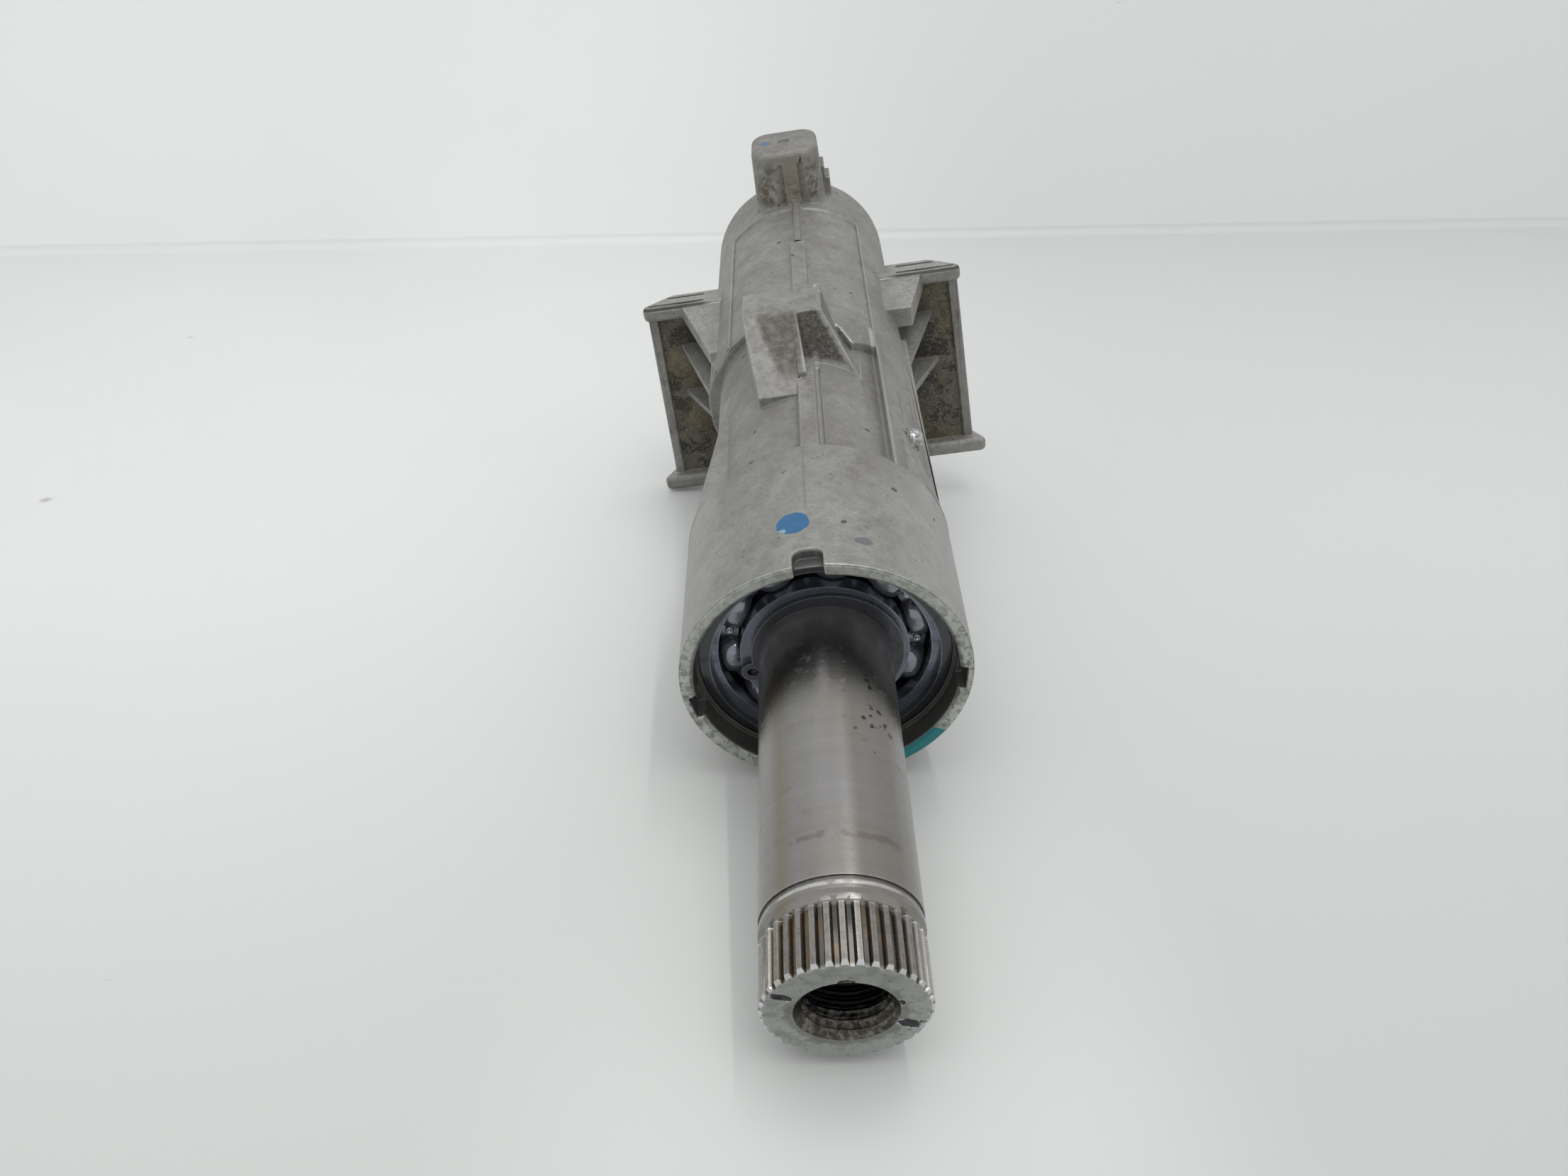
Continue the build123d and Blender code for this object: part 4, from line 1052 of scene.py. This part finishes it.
# %% Tree: threaded sleeve
sleeve_tree, taken, given = start_group(
    "threaded_sleeve", {"Geometry": "Geometry"}, family="Geometry", Geometry="Geometry",
    Rows=200, Pitch=0.0015, Core_Radius=0.0062, Root_Radius=0.007, Mouth_Radius=0.0075,
    Front=0.0, Length=0.02, Finish="Material")
rows, core_radius, outer_radius = taken["Rows"], taken["Core Radius"], taken["Mouth Radius"]
all_rows = total(rows, 2.0)
steps_round = 96
grid = shape("MeshGrid", Size_X=1.0, Size_Y=1.0, Vertices_X=steps_round + 1, Vertices_Y=all_rows)
parts = put("SeparateXYZ", [(0, shape("InputPosition"))])
round_share = total(parts.outputs[0], 0.5)
row = times(total(parts.outputs[1], 0.5), reckon("SUBTRACT", all_rows, 1.0))
last_inner = reckon("SUBTRACT", rows, 1.0)
depth_share = reckon("DIVIDE", reckon("MINIMUM", row, last_inner), last_inner)
not_closing = reckon("LESS_THAN", row, total(rows, 0.5))
depth = times(depth_share, taken["Length"], not_closing)
phase = reckon("SUBTRACT", reckon("DIVIDE", depth, taken["Pitch"]), round_share)
wave = times(reckon("PINGPONG", phase, 0.5), 2.0)
flattened = reckon("MULTIPLY_ADD", wave, 1.35, -0.15, clamp=True)
height = reckon("SUBTRACT", taken["Root Radius"], core_radius)
thread_radius = reckon("MULTIPLY_ADD", flattened, height, core_radius)
inner_radius = most(thread_radius, reckon("SUBTRACT", outer_radius, depth))
outside = reckon("GREATER_THAN", row, reckon("SUBTRACT", rows, 0.5))
step_out = times(outside, reckon("SUBTRACT", outer_radius, inner_radius))
radius = total(inner_radius, step_out)
angle = times(round_share, 2 * math.pi)
wrapped = put("CombineXYZ", [(0, times(radius, reckon("SINE", angle))),
                             (1, total(taken["Front"], depth)),
                             (2, times(radius, reckon("COSINE", angle)))])
moved = shape("SetPosition", Geometry=grid, Position=wrapped.outputs[0])
closed = shape("MergeByDistance", Geometry=moved, Distance=1e-6)
real = shape("RealizeInstances", Geometry=shape("SetShadeSmooth", Geometry=closed))
close_group(given, Geometry=shape("SetMaterial", Geometry=real, Material=taken["Finish"]))

# %% Make the thread
thread = add_object("wheel_bolt_thread", bpy.data.meshes.new("wheel_bolt_thread"))
grow(thread, sleeve_tree, Rows=200, Pitch=1.5 * MM, Core_Radius=bore_radius * MM,
     Root_Radius=7.0 * MM, Mouth_Radius=(mouth_radius - 0.01) * MM, Front=end_face * MM,
     Length=25.9 * MM, Finish=spindle_steel)
work = bmesh.new()
work.from_mesh(thread.data)
print("open edges:", sum(1 for edge in work.edges if not edge.is_manifold),
      "volume in mm3:", round(work.calc_volume(signed=True) / MM ** 3, 1))
if work.calc_volume(signed=True) < 0:
    bmesh.ops.reverse_faces(work, faces=work.faces)
work.to_mesh(thread.data)
work.free()
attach(thread, "spindle")
print("thread:", len(thread.data.polygons), "faces")

# %% [markdown]
# ## The studio
#
# The part lies on a pale sheet that turns up behind it. It rests on the bottom of its
# barrel and on one ear, so in the frame of the model the sheet slopes. From below, the
# sheet lets the view through, and the lights are one big soft panel, a long narrow lamp
# for the sharp streak on the spindle, and a pale room.

# %% Make the sheet
floor_up = Vector((0.142, 0.192, 1.0)).normalized()
bend_left = Vector((-445.8, 456.5, -51.6)) * MM
bend_right = Vector((446.1, 506.2, -187.8)) * MM
bend_radius = 6 * MM
bend_steps = 8
floor_length = 1.9
wall_height = 0.9
half_width = 1.6
bend_course = (bend_right - bend_left).normalized()
towards_camera = bend_course.cross(floor_up).normalized()
if towards_camera.y > 0:
    towards_camera = -towards_camera
bend_middle = (bend_left + bend_right) / 2
outline = [bend_middle + towards_camera * floor_length, bend_middle + towards_camera * bend_radius]
for step in range(1, bend_steps):
    angle = math.radians(90 * step / bend_steps)
    outline.append(bend_middle + towards_camera * bend_radius * (1 - math.sin(angle))
                   + floor_up * bend_radius * (1 - math.cos(angle)))
outline += [bend_middle + floor_up * bend_radius, bend_middle + floor_up * wall_height]
corners = [spot + bend_course * side * half_width for spot in outline for side in (-1, 1)]
faces = [(2 * i, 2 * i + 1, 2 * i + 3, 2 * i + 2) for i in range(len(outline) - 1)]
sheet_mesh = bpy.data.meshes.new("studio_sheet")
sheet_mesh.from_pydata(corners, [], faces)
if sheet_mesh.polygons[0].normal.dot(floor_up) < 0:
    sheet_mesh.flip_normals()
shade_smooth(sheet_mesh)
sheet = add_object("studio_sheet", sheet_mesh)
print("sheet:", len(faces), "faces")

# %% [markdown]
# ### The sheet's finish
#
# The paper is darker near the camera and to the right, which is painted shade, and a little
# lighter under the spindle, which is painted light against the spindle's shadow. It carries
# a few crumbs and scratches. The part that stands up behind glows faintly where the camera
# or a mirror-like surface sees it.

# %% Material: pale sheet with a few specks, painted shade and painted light
sheet_finish, shader = start_material("pale_sheet", Roughness=0.42, Emission_Strength=1.0)
where = use_group(place_on_column)
place, across, along = where["Place"], where["Across"], where["Along"]
facing_y = put("SeparateXYZ", [(0, where["Facing"])]).outputs[1]
# The paper is darker to the right and near the camera: painted shade.
painted_shade_to_right = rise(across, -140.0, 140.0)
far_paper = layered((230, 231, 229), ((211, 212, 211), painted_shade_to_right))
near_paper = layered((191, 192, 189), ((184, 185, 183), painted_shade_to_right))
ray = put("LightPath").outputs
seen = most(ray["Is Camera Ray"], ray["Is Glossy Ray"], ray["Is Transmission Ray"])
on_wall = rise(facing_y, -0.9, -0.98)
dark, lit = (0.0, 0.0, 0.0, 1.0), (0.1, 0.1, 0.1, 1.0)
glow = put("Mix", [(0, times(on_wall, seen)), (6, dark), (7, lit)], data_type="RGBA").outputs[2]
# Lighter under the spindle: painted light against its shadow.
painted_light_under_spindle = times(between(across, -45.0, 45.0, 20.0), between(along, -95.0, 0.0, 25.0))
crumbs = speck(spacing=34.0, width=2.6, share=0.16)
stretched = put("Mapping", [("Vector", place), ("Rotation", (0.0, 0.0, 0.6)),
                            ("Scale", (0.16, 1.0, 1.0))]).outputs[0]
cells = put("TexVoronoi", [("Vector", stretched), ("Scale", 0.09)]).outputs
lot = put("SeparateColor", [(0, cells["Color"])]).outputs
scratch = times(rise(cells["Distance"], 0.035, 0.015), reckon("LESS_THAN", lot[0], 0.12))
paper = layered(
    blend(rise(along, 120.0, -160.0), far_paper, near_paper),
    ((206, 206, 203), cloud(place, 0.006, 3.0), 0.4),
    ((212, 213, 210), painted_light_under_spindle, 0.8),
    ((110, 100, 92), crumbs, 0.8),
    ((150, 146, 140), scratch, 0.35))
set_inputs(shader, Base_Color=paper, Emission_Color=glow)
either = put("MixShader", [(0, put("NewGeometry").outputs["Backfacing"]), (1, shader.outputs[0]),
                           (2, put("BsdfTransparent").outputs[0])])
output = next(node for node in tree.nodes if node.bl_idname == "ShaderNodeOutputMaterial")
set_inputs(output, Surface=either.outputs[0])
sheet.data.materials.append(sheet_finish)
print("material:", sheet_finish.name, "with", len(tree.nodes), "nodes")


# %% [markdown]
# ### Lights and room
#
# The big panel above gives the soft light of a bright workshop. The narrow lamp is long
# and turned, so that its mirror image runs along the spindle.


# %% Lights and room
def panel_lamp(name, spot, power, **settings):
    """A panel lamp at a spot, turned to the middle of the part."""
    lamp_data = bpy.data.lights.new(name, "AREA")
    lamp_data.energy = power
    for label, value in settings.items():
        setattr(lamp_data, label, value)
    lamp = add_object(name, lamp_data)
    lamp.location = spot
    lamp.rotation_mode = "QUATERNION"
    lamp.rotation_quaternion = (middle - spot).to_track_quat("-Z", "Y")
    return lamp


middle = Vector((0.0, 0.06, 0.0))
panel_lamp("ceiling_panel", middle + Vector((0.12, 0.0, 0.95)), 2.5, shape="SQUARE", size=0.9)
tube_lamp = panel_lamp("tube_lamp", middle + Vector((0.46, -0.1, 1.2)), 2.9,
                       shape="RECTANGLE", size=0.03, size_y=1.5)
tube_lamp.rotation_quaternion = Matrix.Rotation(math.radians(21), 3, "Y").to_quaternion()
world = bpy.data.worlds.new("pale_room")
world.use_nodes = True
scene.world = world
room = world.node_tree.nodes["Background"]
room.inputs["Color"].default_value = tone(236, 238, 240)
room.inputs["Strength"].default_value = 0.94
